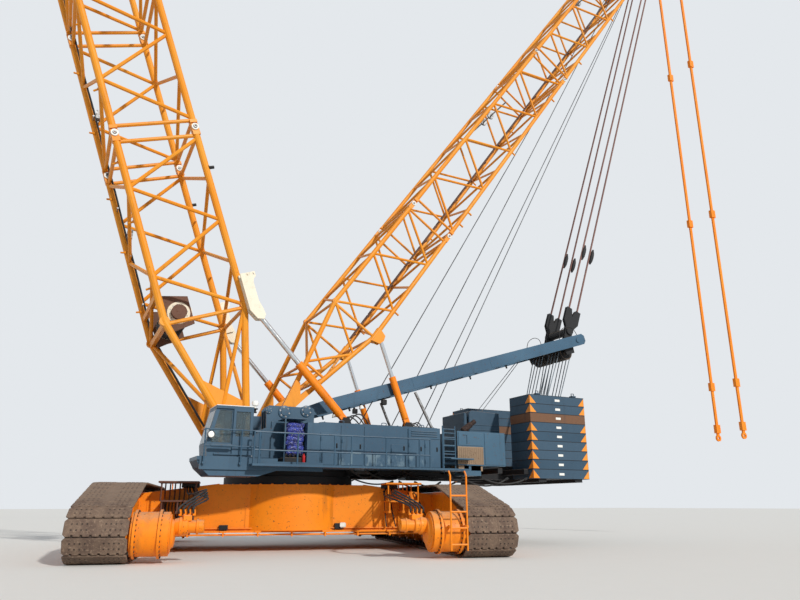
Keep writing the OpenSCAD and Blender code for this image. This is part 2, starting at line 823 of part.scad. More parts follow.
// Head section: straight, then tapered in depth to the sheave shafts
head_taper = 3200;
head_dp = 560;
sheave_d = 620;
shaft_d = 110;
hoist_pin = [-760, boom_s[5] - 250];
stay_pin = [300, boom_s[5] - 250];
hoist_sheave_y = [-420, -280, -140, 0, 140, 280, 420];
module boom_head() {
    s0 = boom_s[4];
    s1 = boom_s[5];
    kink = s1 - head_taper;
    color(golden)
        on_boom() {
            lattice(s0, kink, boom_hw, boom_depth, boom_chord, boom_brace, 3, 1, true, false);
            for (y = [-boom_hw, boom_hw])
                for (x = [-1, 1]) {
                    bar([x * boom_depth / 2, y, kink], [x * head_dp / 2, y * 0.7, s1 - 500], boom_chord,
                        chord_fn);
                    pin_y(x * boom_depth / 2, y, kink, boom_chord * 1.3, boom_chord * 0.8, chord_fn);
                }
            for (k = [0.25, 0.62]) {
                z = kink + (s1 - 500 - kink) * k;
                d = boom_depth / 2 + (head_dp / 2 - boom_depth / 2) * k;
                w = boom_hw * (1 - 0.3 * k);
                for (x = [-d, d])
                    straight_brace([x, -w, z], [x, w, z], boom_brace);
                for (y = [-w, w])
                    straight_brace([-d, y, z], [d, y, z], boom_brace);
            }
            for (y = [-boom_hw * 0.7, boom_hw * 0.7])
                plate_xz(y, 90, [
                    [-head_dp / 2 - 70, s1 - 760], [head_dp / 2 + 70, s1 - 760],
                    [stay_pin[0] + 130, s1 - 330],
                    [stay_pin[0] + 100, s1 - 130], [0, s1], [hoist_pin[0] - 90, s1 - 120],
                    [hoist_pin[0] - 110, s1 - 340]
                ]);
            pin_y(hoist_pin[0], 0, hoist_pin[1], 120, boom_hw * 1.4 + 160);
            pin_y(stay_pin[0], 0, stay_pin[1], shaft_d, boom_hw * 1.4 + 160);
            for (y = hoist_sheave_y)
                pin_y(hoist_pin[0], y, hoist_pin[1], sheave_d, 60, 40);
            for (y = [-210, 0, 210])
                pin_y(stay_pin[0], y, stay_pin[1], sheave_d * 0.8, 60, 40);
        }
}

// Hoist winch inside the foot section, on two cross beams
winch_beams = [boom_kink - boom_brace * brace_apart, 3050];
beam_half = 40;
winch_plate_y = 560;
winch_centre = [-370, 2740];
module boom_winch() {
    front = -boom_depth / 2 + beam_half + seat_gap;
    color(cream)
        on_boom() {
            for (y = [-1, 1])
                plate_xz(y * winch_plate_y, 40, [[front, 2410], [-150, 2500], [-150, 3000], [front, 3110]]);
            pin_y(winch_centre[0], 0, winch_centre[1], 420, 2 * winch_plate_y - 40, 48);
            for (y = [-1, 1])
                pin_y(winch_centre[0], y * (winch_plate_y + 70), winch_centre[1], 260, 100, 32);
        }
}

// Mast stations
mast_s = [0, 5150, 11150, 17150, 21000];
mast_taper = [[0.44, -1], [0.745, 1], [1, -1]];
module on_mast() {
    lean(-mast_pin_x, mast_pin_z, 90 - mast_angle)
        children();
}
module mast_foot() {
    color(golden)
        on_mast()
            union() {
                foot_section(mast_kink, mast_s[1], mast_hw, mast_depth, mast_chord, mast_brace, 4, 600,
                    mast_taper, -1);
                both_sides()
                    mast_stop_bracket();
            }
}

// Saddle and two lugs under the rear chord for the open eye of a mast stop
module mast_stop_bracket() {
    s0 = 2140;
    s1 = 2440;
    bar([mast_depth / 2, mast_hw, s0], [mast_depth / 2, mast_hw, s1], mast_chord * 1.35, chord_fn);
    for (s = [-1, 1])
        plate_xz(mstop_y + s * (mstop_eye_w / 2 + lug_gap + 12.5), 25, [
            [mast_depth / 2 - 10, s0], [mast_depth / 2 + 150, s0 + 50],
            [mast_depth / 2 + 180, (s0 + s1) / 2],
            [mast_depth / 2 + 150, s1 - 50], [mast_depth / 2 - 10, s1]
        ]);
}
module mast_insert(i, bays) {
    color(golden)
        on_mast()
            lattice(mast_s[i], mast_s[i + 1], mast_hw, mast_depth, mast_chord, mast_brace, bays);
}

// Head section: straight, then its rear chords lean forwards, so that the pendants pass behind them
hang_local = [mast_depth / 2 + 20, mast_s[4] - 520];
mast_straight = 1250;
head_x = 60;
head_sheave_y = [-180, -60, 60, 180];
module mast_head() {
    s1 = mast_s[4];
    kink = mast_s[3] + mast_straight;
    top = s1 - 700;
    mid = (kink + top) / 2;
    mid_x = (mast_depth / 2 + head_x) / 2;
    color(golden)
        on_mast() {
            lattice(mast_s[3], kink, mast_hw, mast_depth, mast_chord, mast_brace, 2, 1, true, false);
            for (y = [-mast_hw, mast_hw]) {
                bar([mast_depth / 2, y, kink], [head_x, y, top], mast_chord, chord_fn);
                bar([-mast_depth / 2, y, kink - 1], [-mast_depth / 2, y, top], mast_chord, chord_fn);
                bar([mast_depth / 2, y, kink], [-mast_depth / 2, y, mid], mast_brace, brace_fn);
                bar([-mast_depth / 2, y, mid], [head_x, y, top], mast_brace, brace_fn);
            }
            for (x = [-mast_depth / 2, mid_x - 3 * lug_gap])
                straight_brace([x, -mast_hw, mid + 40], [x, mast_hw, mid + 40], mast_brace);
            bar([-mast_depth / 2, -mast_hw, kink], [-mast_depth / 2, mast_hw, mid], mast_brace, brace_fn);
            for (y = [-mast_hw, -250, 250, mast_hw])
                plate_xz(y, 70, [
                    [-mast_depth / 2 - 60, s1 - 760], [head_x + 80, s1 - 860],
                    [hang_local[0] + 90, s1 - 620],
                    [hang_local[0] + 90, s1 - 420], [hang_local[0] - 60, s1 - 300], [130, s1], [-130, s1],
                    [-mast_depth / 2 - 60, s1 - 300]
                ]);
            pin_y(0, 0, s1 - 200, 130, 2 * mast_hw + 90);
            pin_y(-mast_depth / 2 + 60, 0, s1 - 520, 110, 2 * mast_hw + 60);
            pin_y(hang_local[0], 0, hang_local[1], shaft_d, 2 * mast_hw + 60);
            for (y = head_sheave_y)
                pin_y(0, y, s1 - 200, 520, 60, 40);
        }
}

// A-frame: two box beams, cross beams and the sheave set under the tip
module on_aframe() {
    lean(aframe_pin[0], aframe_pin[1], 90 - aframe_angle)
        children();
}
yoke_s = aframe_len - 210;
cross_s = [2400, 4300, aframe_len - 700];
module a_frame() {
    color(blue)
        on_aframe() {
            for (y = [-aframe_y, aframe_y])
                difference() {
                    union() {
                        pin_y(0, y, 0, 200, aframe_beam_w, 40);
                        plate_xz(y, aframe_beam_w, [
                            [-80, 0], [80, 0], [aframe_beam_h / 2, 500],
                            [aframe_beam_h / 2, aframe_len - 60],
                            [60, aframe_len], [-60, aframe_len], [-aframe_beam_h / 2, aframe_len - 60],
                            [-aframe_beam_h / 2, 500]
                        ]);
                    }
                    pin_y(0, y, 0, foot_pin_d + 1, aframe_beam_w + 2, 40);
                }
            for (s = cross_s)
                block([-90, -aframe_y, s - 90], [90, aframe_y, s + 90]);
            pin_y(0, 0, yoke_s, shaft_d, 2 * aframe_y + aframe_beam_w + 40);
        }
}

// Upper sheaves of the A-frame's ropes, in cheeks under its tip
tip_block = [190, aframe_len - 420];
tip_sheave_y = [-480, -360, -240, -120, 120, 240, 360, 480];
module tip_sheaves() {
    reach = aframe_y - aframe_beam_w / 2 - seat_gap;
    color(dark)
        on_aframe() {
            both_sides()
                plate_xz(reach - 30, 60, [
                    [-60, tip_block[1] - 170], [tip_block[0] + 60, tip_block[1] - 110],
                    [tip_block[0] + 60, tip_block[1] + 110],
                    [60, tip_block[1] + 130], [-60, tip_block[1] + 130]
                ]);
            pin_y(tip_block[0], 0, tip_block[1], 90, 2 * reach - 60);
            for (y = tip_sheave_y)
                pin_y(tip_block[0], y, tip_block[1], 340, 60, 40);
        }
}

// A point of the boom or the mast, [local x, height along it], in the machine's X and Z
function boom_point(p) = [
    -boom_pin_x - p[1] * cos(boom_angle) + p[0] * sin(boom_angle),
    boom_pin_z + p[1] * sin(boom_angle) + p[0] * cos(boom_angle)
];
function mast_point(p) = [
    -mast_pin_x + p[1] * cos(mast_angle) + p[0] * sin(mast_angle),
    mast_pin_z + p[1] * sin(mast_angle) - p[0] * cos(mast_angle)
];
function xyz(p, y) = [p[0], y, p[1]];
tip = [aframe_pin[0] + yoke_s * cos(aframe_angle), aframe_pin[1] + yoke_s * sin(aframe_angle)];
hang_pin = mast_point(hang_local);
mast_top = mast_point([0, mast_s[4] - 200]);
stay_top = boom_point(stay_pin);
hoist_top = boom_point(hoist_pin);

// Flat bar with an eye at its start, from a to b in X and Z, at y
module stay_bar(a, b, y, w, t, eye, bore) {
    u = (b - a) / norm(b - a);
    n = [-u[1], u[0]];
    difference() {
        union() {
            plate_xz(y, t, [a - n * w / 2, b - n * w / 2, b + n * w / 2, a + n * w / 2]);
            pin_y(a[0], y, a[1], eye, t);
        }
        pin_y(a[0], y, a[1], bore, t + 2);
    }
}

// Yoke on the A-frame's shaft: a hub, a cross tube and two pairs of rocker plates for the pendants
yoke_y = 340;
rocker = [840, 120];
rocker_t = 26;
pendant_t = 24;
pendant_w = 36;
pendant_pin_d = 44;
pull = (mast_top - tip) / norm(mast_top - tip);
across = [-pull[1], pull[0]];
function on_yoke(l, w) = tip + pull * l + across * w;
module pendant_yoke() {
    hub = yoke_y + pendant_t + 2 * rocker_t;
    color(dark) {
        difference() {
            union() {
                pin_y(tip[0], 0, tip[1], shaft_d + 70, 2 * hub);
                for (y = [-yoke_y, yoke_y])
                    for (s = [-1, 1])
                        plate_xz(y + s * (pendant_t / 2 + 3 + rocker_t / 2), rocker_t, [
                            on_yoke(0, -80), on_yoke(0, 80), on_yoke(420, 110), on_yoke(560, 200),
                            on_yoke(900, 200),
                            on_yoke(900, 60), on_yoke(700, 0), on_yoke(900, -60), on_yoke(900, -200),
                            on_yoke(560, -200), on_yoke(420, -110)
                        ]);
            }
            pin_y(tip[0], 0, tip[1], shaft_d + 1, 2 * hub + 2);
        }
        pin_y(on_yoke(330, 0)[0], 0, on_yoke(330, 0)[1], 180, 2 * hub, chord_fn);
        for (y = [-yoke_y, yoke_y])
            for (w = [-rocker[1], rocker[1]])
                pin_y(on_yoke(rocker[0], w)[0], y, on_yoke(rocker[0], w)[1], pendant_pin_d,
                    pendant_t + 2 * rocker_t + 10, 24);
    }
}

// Four pendants from the yoke towards the mast's head
pendant_top = [150, 60];
module mast_pendants() {
    run = norm(mast_top - tip);
    color("#8a3f34")
        for (y = [-yoke_y, yoke_y])
            for (s = [-1, 1])
                stay_bar(on_yoke(rocker[0], s * rocker[1]),
                    on_yoke(run - pendant_top[0], s * pendant_top[1]), y,
                    pendant_w, pendant_t, 84, pendant_pin_d + 1);
}

// Main stays from the boom's head towards the mast's head, with the sheaves of their reeving block
stay_y = [-400, 400];
stay_share = 0.58;
module main_stays() {
    far = stay_top + (mast_top - stay_top) * stay_share;
    color(golden) {
        for (y = stay_y)
            stay_bar(stay_top, far, y, 80, 40, 190, shaft_d + 1);
        pin_y(far[0], 0, far[1], 90, 2 * stay_y[1] + 90);
        for (y = [-180, -60, 60, 180])
            pin_y(far[0], y, far[1], 420, 60, 40);
    }
}

// Stay bars that hang from the mast's head. link_z: heights of the link joints
hang_y = 390;
hang_z0 = 2500;
hang_bore_d = 70;
link_z = [13560, 8610, 3810, 2680];
module stay_bars() {
    color(orange)
        for (y = [-hang_y, hang_y]) {
            stay_bar(hang_pin, [hang_pin[0], hang_z0], y, 80, 40, 190, shaft_d + 1);
            for (z = link_z)
                block([hang_pin[0] - 75, y - 45, z - 110], [hang_pin[0] + 75, y + 45, z + 110]);
            difference() {
                pin_y(hang_pin[0], y, hang_z0 - 60, 170, 40);
                pin_y(hang_pin[0], y, hang_z0 - 60, hang_bore_d, 60);
            }
        }
}

// Hook block on the falls of the hoist rope
block_drop = 6000;
block_sheave_d = 520;
fall_d = 28;
// One side of the ramshorn hook: between two arcs
hook_drop = 980;
horn_x = 150;
horn_r = [115, 240];
function arc(c, r, from, to, n = 14) =
    [for (i = [0:n]) let (a = from + (to - from) * i / n) c + r * [cos(a), sin(a)]];
horn = concat(arc([horn_x, 0], horn_r[1], 170, 385), arc([horn_x, 0], horn_r[0], 372, 180));
module hook_block() {
    z = hoist_top[1] - block_drop;
    color(orange) {
        for (y = [-370, 330])
            plate_xz(y + 20, 40, [
                [hoist_top[0] - 320, z - 120], [hoist_top[0] + 320, z - 120], [hoist_top[0] + 320, z + 200],
                [hoist_top[0] + 160, z + 330], [hoist_top[0] - 160, z + 330], [hoist_top[0] - 320, z + 200]
            ]);
        block([hoist_top[0] - 220, -370, z - 420], [hoist_top[0] + 220, 370, z - 119]);
        pin_y(hoist_top[0], 0, z, 110, 800);
        for (y = [-280, -140, 0, 140, 280])
            pin_y(hoist_top[0], y, z, block_sheave_d, 60, 40);
        translate([hoist_top[0], 0, z - hook_drop])
            cylinder(h = hook_drop - 400, d = 150, $fn = 32);
        for (s = [-1, 1])
            plate_xz(0, 130, [for (p = horn) [hoist_top[0] + s * p[0], z - hook_drop + p[1]]]);
        for (y = [-280, 280])
            for (s = [-1, 1])
                bar([hoist_top[0] + s * (block_sheave_d / 2 - 20), y, z],
                    [hoist_top[0] + s * (sheave_d / 2 + fall_d / 2 + seat_gap), y, hoist_top[1]], fall_d,
                    12);
    }
}

// Stop cylinders. base and top are [x, z]. The eye at the rod's end is open
eye_ring = 60;
neck_share = 0.9;
bstop_y = 1040;
bstop_base = [670, 2170];
bstop_top = [-980, 3910];
bstop_eye_w = 80;
mstop_y = 862;
mstop_base = [2000, 2170];
mstop_top = [1425, 3760];
mstop_eye_w = 70;
// Along a cylinder from its base pin:
// [start of the barrel, floor of its bore, end of the rod inside, end of the barrel]
bstop_cuts = [140, 160, 510, 1310];
mstop_cuts = [130, 150, 325, 950];
rod_fit = 0.4;
function along(base, top, s, y) = xyz(base + (top - base) / norm(top - base) * s, y);
module barrel(base, top, y, d, cuts) {
    difference() {
        union() {
            bar(along(base, top, cuts[0], y), along(base, top, cuts[3], y), d, 32);
            pin_y(base[0], y, base[1], eye_pin_d + eye_ring, d * 0.6);
            neck(base, top, y, d * 0.6, cuts[0] + 10);
        }
        pin_y(base[0], y, base[1], eye_pin_d + 1, d * 2);
        bar(along(base, top, cuts[1], y), along(base, top, cuts[3] + 10, y), d * rod_share + 2 * rod_fit,
            32);
    }
}
module neck(base, top, y, w, l) {
    u = (top - base) / norm(top - base);
    n = [-u[1], u[0]] * (eye_pin_d + eye_ring) / 2 * neck_share;
    plate_xz(y, w, [base - n, base - n + u * l, base + n + u * l, base + n]);
}
module rod(base, top, y, d, cuts, eye_w) {
    difference() {
        union() {
            bar(along(base, top, cuts[2], y), xyz(top, y), d * rod_share, 32);
            pin_y(top[0], y, top[1], 100, eye_w);
        }
        pin_y(top[0], y, top[1], 50, d);
    }
}
module boom_stop_barrel(s) {
    color(orange)
        barrel(bstop_base, bstop_top, s * bstop_y, bstop_d, bstop_cuts);
}
module boom_stop_rod(s) {
    color(chrome)
        rod(bstop_base, bstop_top, s * bstop_y, bstop_d, bstop_cuts, bstop_eye_w);
}
module mast_stop_barrel(s) {
    color(orange)
        barrel(mstop_base, mstop_top, s * mstop_y, mstop_d, mstop_cuts);
}
module mast_stop_rod(s) {
    color(chrome)
        rod(mstop_base, mstop_top, s * mstop_y, mstop_d, mstop_cuts, mstop_eye_w);
}

car_body();
slew_ring();
side_frame(-1);  // side_frame_left
side_frame(1);  // side_frame_right
track(-1);  // track_left
track(1);  // track_right
drives(-1);  // drives_left
drives(1);  // drives_right
landings();
turntable();
foot_brackets();
house(-1);  // house_left
house(1);  // house_right
power_pack();
rear_frame();
counterweight(-1);  // counterweight_left
counterweight(1);  // counterweight_right
cab();
cab_door();
cab_platform();
walkways();
deck_winches();
boom_foot();
boom_insert(1, 3);  // boom_insert_1
boom_insert(2, 7);  // boom_insert_2
boom_insert(3, 7);  // boom_insert_3
boom_head();
boom_winch();
boom_stop_heads();
mast_foot();
mast_insert(1, 8);  // mast_insert_1
mast_insert(2, 8);  // mast_insert_2
mast_head();
a_frame();
tip_sheaves();
pendant_yoke();
mast_pendants();
boom_stop_barrel(-1);  // boom_stop_barrel_left
boom_stop_barrel(1);  // boom_stop_barrel_right
boom_stop_rod(-1);  // boom_stop_rod_left
boom_stop_rod(1);  // boom_stop_rod_right
mast_stop_barrel(-1);  // mast_stop_barrel_left
mast_stop_barrel(1);  // mast_stop_barrel_right
mast_stop_rod(-1);  // mast_stop_rod_left
mast_stop_rod(1);  // mast_stop_rod_right
stay_bars();
main_stays();
hook_block();
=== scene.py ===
"""Looks of a crawler crane with a lattice boom, a superlift mast and an A-frame, a 1:2 model.

The machine stands on the floor with its slewing axis on the Z axis, boom and cab at -X,
counterweight at +X, in metres.
"""

import math

import bmesh
import bpy
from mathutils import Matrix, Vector


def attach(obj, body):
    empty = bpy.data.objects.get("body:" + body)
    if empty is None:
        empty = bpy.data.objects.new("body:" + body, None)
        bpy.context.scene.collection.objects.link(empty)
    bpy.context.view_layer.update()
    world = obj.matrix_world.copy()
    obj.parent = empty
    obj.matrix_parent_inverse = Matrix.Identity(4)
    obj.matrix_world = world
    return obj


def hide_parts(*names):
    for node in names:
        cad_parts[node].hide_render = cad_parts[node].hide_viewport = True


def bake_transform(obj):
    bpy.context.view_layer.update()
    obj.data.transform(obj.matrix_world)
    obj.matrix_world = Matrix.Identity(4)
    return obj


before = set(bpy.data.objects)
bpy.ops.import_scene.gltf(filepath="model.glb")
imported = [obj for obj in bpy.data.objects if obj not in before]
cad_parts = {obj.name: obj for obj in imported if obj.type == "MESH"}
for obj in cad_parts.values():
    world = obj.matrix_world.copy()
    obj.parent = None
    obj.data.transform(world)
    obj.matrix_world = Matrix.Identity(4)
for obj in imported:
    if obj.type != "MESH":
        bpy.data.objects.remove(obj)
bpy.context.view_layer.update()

# Directions and places that several pieces share

SIDES = (-1, 1)
ACROSS = Vector((0, 1, 0))
HOUSE_FACE, HOUSE_FOOT, HOUSE_TOP = 1.455, 1.37, 2.07
REAR_BOX_FACE = 1.425
BRACKET_FACE = 0.952
STACK_X, STACK_FACE = (4.38, 5.74), 1.5
SLAB_Z0, SLAB_T, SLAB_N = 1.22, 0.18, 9
BROWN_SLAB = 6
STACK_TOP = SLAB_Z0 + SLAB_N * SLAB_T


# Finishes: shader maths

def linear(code):
    """Colour of a hex code as the linear values that a socket takes."""
    parts = [int(code[i:i + 2], 16) / 255 for i in (1, 3, 5)]
    return (*((c / 12.92 if c < 0.04045 else ((c + 0.055) / 1.055) ** 2.4) for c in parts), 1)


class Signal:
    """An output socket of a node. Sums with it add their Math nodes."""

    def __init__(self, nodes, socket):
        self.nodes, self.socket = nodes, socket

    def maths(self, operation, a, b=0.0):
        return self.nodes.node("ShaderNodeMath", {"operation": operation}, {0: a, 1: b})

    def __add__(self, other):
        return self.maths("ADD", self, other)

    def __sub__(self, other):
        return self.maths("SUBTRACT", self, other)

    def __rsub__(self, other):
        return self.maths("SUBTRACT", other, self)

    def __mul__(self, other):
        return self.maths("MULTIPLY", self, other)

    __radd__, __rmul__ = __add__, __mul__

    def above(self, low, high):
        """0 below low, 1 over high, smooth between them."""
        settings = {"interpolation_type": "SMOOTHSTEP"}
        return self.nodes.node("ShaderNodeMapRange", settings, {0: self, 1: low, 2: high})


class Nodes:
    """A node tree in the making."""

    def __init__(self, tree):
        self.tree = tree

    def plug(self, socket, value):
        if isinstance(value, Signal):
            self.tree.links.new(value.socket, socket)
        else:
            socket.default_value = value

    def node(self, kind, settings, values, output=0):
        made = self.tree.nodes.new(kind)
        for name, value in settings.items():
            setattr(made, name, value)
        for name, value in values.items():
            self.plug(made.inputs[name], value)
        return Signal(self, made.outputs[output])


class Finish(Nodes):
    """A material in the making."""

    def __init__(self, name):
        self.material = bpy.data.materials.new(name)
        self.material.use_nodes = True
        super().__init__(self.material.node_tree)
        self.shader = self.tree.nodes["Principled BSDF"]
        self.place = self.node("ShaderNodeTexCoord", {}, {}, "Object")
        self.facing = self.node("ShaderNodeTexCoord", {}, {}, "Normal")

    def mix(self, mask, low, high):
        """Colour low where the mask is 0, high where it is 1."""
        low, high = (linear(c) if isinstance(c, str) else c for c in (low, high))
        return self.node("ShaderNodeMix", {"data_type": "RGBA"}, {0: mask, 6: low, 7: high}, 2)

    def part(self, vector, axis):
        return self.node("ShaderNodeSeparateXYZ", {}, {0: vector}, axis)

    def stretched(self, x, y, z):
        settings = {"operation": "MULTIPLY"}
        return self.node("ShaderNodeVectorMath", settings, {0: self.place, 1: (x, y, z)})

    def noise(self, scale, detail=3.0, rough=0.55, place=None):
        values = {"Vector": place or self.place, "Scale": scale, "Detail": detail, "Roughness": rough}
        return self.node("ShaderNodeTexNoise", {}, values)

    def band(self, axis, low, high):
        """1 between low and high along an axis of the machine."""
        along = self.part(self.place, axis)
        return along.above(low - 0.001, low) * (1 - along.above(high, high + 0.001))

    def wear(self, colour, rough, height=None, strength=0.3, distance=0.002, **constants):
        for name, value in {"Base Color": colour, "Roughness": rough}.items():
            self.plug(self.shader.inputs[name], value)
        for name, value in constants.items():
            self.shader.inputs[name.replace("_", " ")].default_value = value
        if height is not None:
            values = {"Strength": strength, "Distance": distance, "Height": height}
            self.plug(self.shader.inputs["Normal"], self.node("ShaderNodeBump", {}, values))
        return self.material


DUST = "#a8937a"
RUST = "#5b3a28"


def paint(name, fresh, faded, grime, dust=0.35, chips=0.62, gloss=0.38, marks=None):
    """Site-worn machine paint: fading in patches, runs of grime, dust on what faces up, rusty chips."""
    finish = Finish(name)
    patches = finish.noise(0.8, 4).above(0.35, 0.75)
    runs = finish.noise(5, 4, 0.6, finish.stretched(1, 1, 0.16)).above(0.56, 0.78)
    mottle = finish.noise(14, 5, 0.65)
    fine = finish.noise(90, 3)
    chip = finish.noise(26, 6, 0.7).above(chips, chips + 0.035)
    up = finish.part(finish.facing, 2).above(0.35, 0.95)
    colour = finish.mix(patches * 0.7, fresh, faded)
    if marks:
        colour = marks(finish, colour)
    colour = finish.mix(runs * 0.45, colour, grime)
    colour = finish.mix(mottle.above(0.5, 0.8) * 0.22, colour, grime)
    colour = finish.mix(up * (mottle.above(0.25, 0.7) * dust + dust * 0.4), colour, DUST)
    colour = finish.mix(chip * 0.85, colour, RUST)
    rough = gloss + mottle * 0.25 + chip * 0.3 + up * 0.15
    return finish.wear(colour, rough, fine * 0.4 - chip, 0.25, 0.0015, Specular_IOR_Level=0.3)


def slab_marks(finish, colour):
    """Each slab has its own tone, the third from the top is primer brown, and the joints are dark."""
    layer = (finish.part(finish.place, 2) - SLAB_Z0) * (1 / SLAB_T)
    noise = {"noise_dimensions": "1D"}
    tone = finish.node("ShaderNodeTexWhiteNoise", noise, {"W": layer.maths("FLOOR", layer)})
    within = layer.maths("FRACT", layer)
    brown_low = SLAB_Z0 + BROWN_SLAB * SLAB_T
    colour = finish.mix(tone * 0.45, colour, "#435a6d")
    colour = finish.mix(finish.band(2, brown_low, brown_low + SLAB_T - 0.0004), colour, "#6d4d37")
    joint = within.above(0.93, 0.955) + (1 - within.above(0.015, 0.03))
    return finish.mix(joint * 0.85, colour, "#0f151b")


def landing_marks(finish, colour):
    """The landings at +X are orange, those at -X stay brown."""
    return finish.mix(finish.band(0, 0, 4), colour, "#dd7f16")


def house_marks(finish, colour):
    """Pale scuffed paint low on the houses' sides."""
    scuffs = finish.noise(3, 5, 0.7, finish.stretched(1, 1, 0.5)).above(0.5, 0.62)
    low = finish.band(2, HOUSE_FOOT, 1.56) * finish.band(0, 0.06, 2.4) * scuffs
    return finish.mix(low * 0.4, colour, "#8aa0a9")


def bare_steel(name, light, dark, metallic=0.8, rough=0.42):
    finish = Finish(name)
    mottle = finish.noise(22, 5, 0.65)
    scratch = finish.noise(60, 3, 0.6, finish.stretched(1, 1, 6)).above(0.5, 0.7)
    colour = finish.mix(mottle.above(0.35, 0.7), light, dark)
    return finish.wear(colour, rough + mottle * 0.25 - scratch * 0.1, mottle, 0.2, Metallic=metallic)


def shoe_steel():
    """Track shoes: earth-stained steel, dusted pale, rubbed bright at places."""
    finish = Finish("track_shoe_steel")
    earth = finish.noise(5, 5, 0.62).above(0.3, 0.7)
    grit = finish.noise(90, 6, 0.75)
    clods = finish.noise(30, 5, 0.65).above(0.52, 0.7)
    upper = finish.part(finish.place, 2).above(0.74, 0.86)
    colour = finish.mix(earth, "#5f4c41", "#7f6a59")
    colour = finish.mix(grit.above(0.45, 0.68) * (0.5 - upper * 0.3), colour, "#352a24")
    colour = finish.mix(clods * (0.55 - upper * 0.35), colour, "#a28b75")
    colour = finish.mix(upper * 0.6, colour, "#83705f")
    return finish.wear(colour, 0.78 + grit * 0.15, grit + clods * 0.6, 0.35, 0.003, Metallic=0.1)


def chrome():
    finish = Finish("rod_chrome_finish")
    film = finish.noise(9, 4, 0.6).above(0.45, 0.7)
    colour = finish.mix(film * 0.5, "#d4d8dc", "#a9a49a")
    return finish.wear(colour, 0.14 + film * 0.14, Metallic=1.0)


def strands(name, light, dark):
    """Wire rope: grey strands, greased dark."""
    finish = Finish(name)
    lay = finish.noise(160, 2, 0.6)
    grease = finish.noise(1.6, 3).above(0.35, 0.65)
    colour = finish.mix(grease * 0.7 + lay * 0.3, light, dark)
    return finish.wear(colour, 0.48 + lay * 0.2, lay, 0.4, 0.002, Metallic=0.5)


def rubber():
    finish = Finish("hose_rubber")
    dusty = finish.noise(12, 4, 0.6).above(0.45, 0.75)
    return finish.wear(finish.mix(dusty * 0.4, "#17181a", "#4b4640"), 0.6 + dusty * 0.2)


def glass():
    finish = Finish("cab_glass")
    film = finish.noise(5, 4, 0.6).above(0.4, 0.8)
    colour = finish.mix(film * 0.35, "#9db4bf", "#b9b6a8")
    return finish.wear(colour, 0.04 + film * 0.18, Transmission_Weight=0.85, IOR=1.25)


def woven(name, light, dark, fleck):
    """Coarse cloth with pale flecks."""
    finish = Finish(name)
    folds = finish.noise(18, 3)
    weave = finish.noise(240, 2)
    flecks = finish.noise(75, 2, 0.5).above(0.6, 0.66)
    colour = finish.mix(folds.above(0.35, 0.65), light, dark)
    colour = finish.mix(flecks * 0.7, colour, fleck)
    return finish.wear(colour, 0.8 + weave * 0.1, weave, 0.3, 0.001)


def lamp_lens():
    finish = Finish("lamp_lens")
    ribs = finish.noise(120, 2).above(0.4, 0.6)
    return finish.wear(finish.mix(ribs * 0.4, "#f2f2ec", "#cfd6d6"), 0.12 + ribs * 0.1)


ORANGE = paint("undercarriage_orange", "#f08208", "#ee9020", "#8a5526", dust=0.45, gloss=0.34)
BOOM_PAINT = paint("boom_golden_orange", "#e08a14", "#e39a2c", "#8d5a20", 0.15, 0.66, 0.34)
BLUE = paint("machinery_blue", "#314e64", "#446176", "#232f38", 0.2, 0.64, 0.28, house_marks)
LANDING = paint("landing_paint", "#5c3c30", "#6b4838", "#30211b", 0.2, gloss=0.5, marks=landing_marks)
LOUVRE = paint("louvre_tan", "#8d7862", "#a08a72", "#5a493c", dust=0.2, chips=0.6, gloss=0.5)
AFRAME_BLUE = paint("aframe_blue", "#33536b", "#486a82", "#28353f", dust=0.3, gloss=0.33)
PALE_BLUE = paint("rear_box_blue", "#3c5c72", "#4d6d83", "#2f3e48", dust=0.2, gloss=0.3)
SLATE = paint("slab_slate_blue", "#294356", "#344f64", "#1f2b35", dust=0.5, gloss=0.48, marks=slab_marks)
COVER = paint("winch_cover_blue", "#31495c", "#3f5a6e", "#1f2b35", dust=0.25, chips=0.7, gloss=0.4)
MARK_ORANGE = paint("marking_orange", "#e5871c", "#e59a40", "#7d5128", dust=0.1, chips=0.66)
CREAM = paint("cream_coat", "#e6dfcb", "#d9cfb6", "#8c7c62", dust=0.15, chips=0.68)
WHITE = paint("white_coat", "#e9e9e4", "#dcdcd4", "#8f8b80", dust=0.1, chips=0.68)
RED = paint("stay_red_brown", "#6d4a43", "#7f5c53", "#3b2d29", dust=0.1, chips=0.6)
SAFETY_RED = paint("safety_red", "#b3262a", "#b8453f", "#5a2420", dust=0.1, chips=0.66)
# Dark brown paint. On the boom winch this brown is painted shade: the winch is drawn in the colour its paint
# shows in shadow.
BROWN_AND_SHADE = paint("brown_and_painted_shade", "#5d3f30", "#6c4b3b", "#33261f", dust=0.3, chips=0.6, gloss=0.55)
BLACK = paint("underside_black", "#16171a", "#232427", "#2f2a26", dust=0.3, chips=0.72, gloss=0.5)
SHOE = shoe_steel()
CHROME = chrome()
ROPE = strands("wire_rope", "#5b5e62", "#262626")
FALLS = strands("fall_rope", "#8b969e", "#525b63")
STEEL = bare_steel("machined_steel", "#9a9c9e", "#5f5c58")
DRUM = bare_steel("drum_steel", "#6f6156", "#3a322c", 0.5, 0.55)
RUSTY = bare_steel("rusty_steel", "#42302a", "#231b19", 0.2, 0.75)
LINK = bare_steel("track_link_steel", "#4d4038", "#2a221d", 0.2, 0.7)
RUBBER = rubber()
GLASS = glass()
SEAT_CLOTH = woven("seat_cloth", "#2a2c31", "#1c1d21", "#3b3d43")
BUNDLE_CLOTH = woven("bundle_cloth", "#2f3f9c", "#1e2458", "#c9cde6")
LENS = lamp_lens()

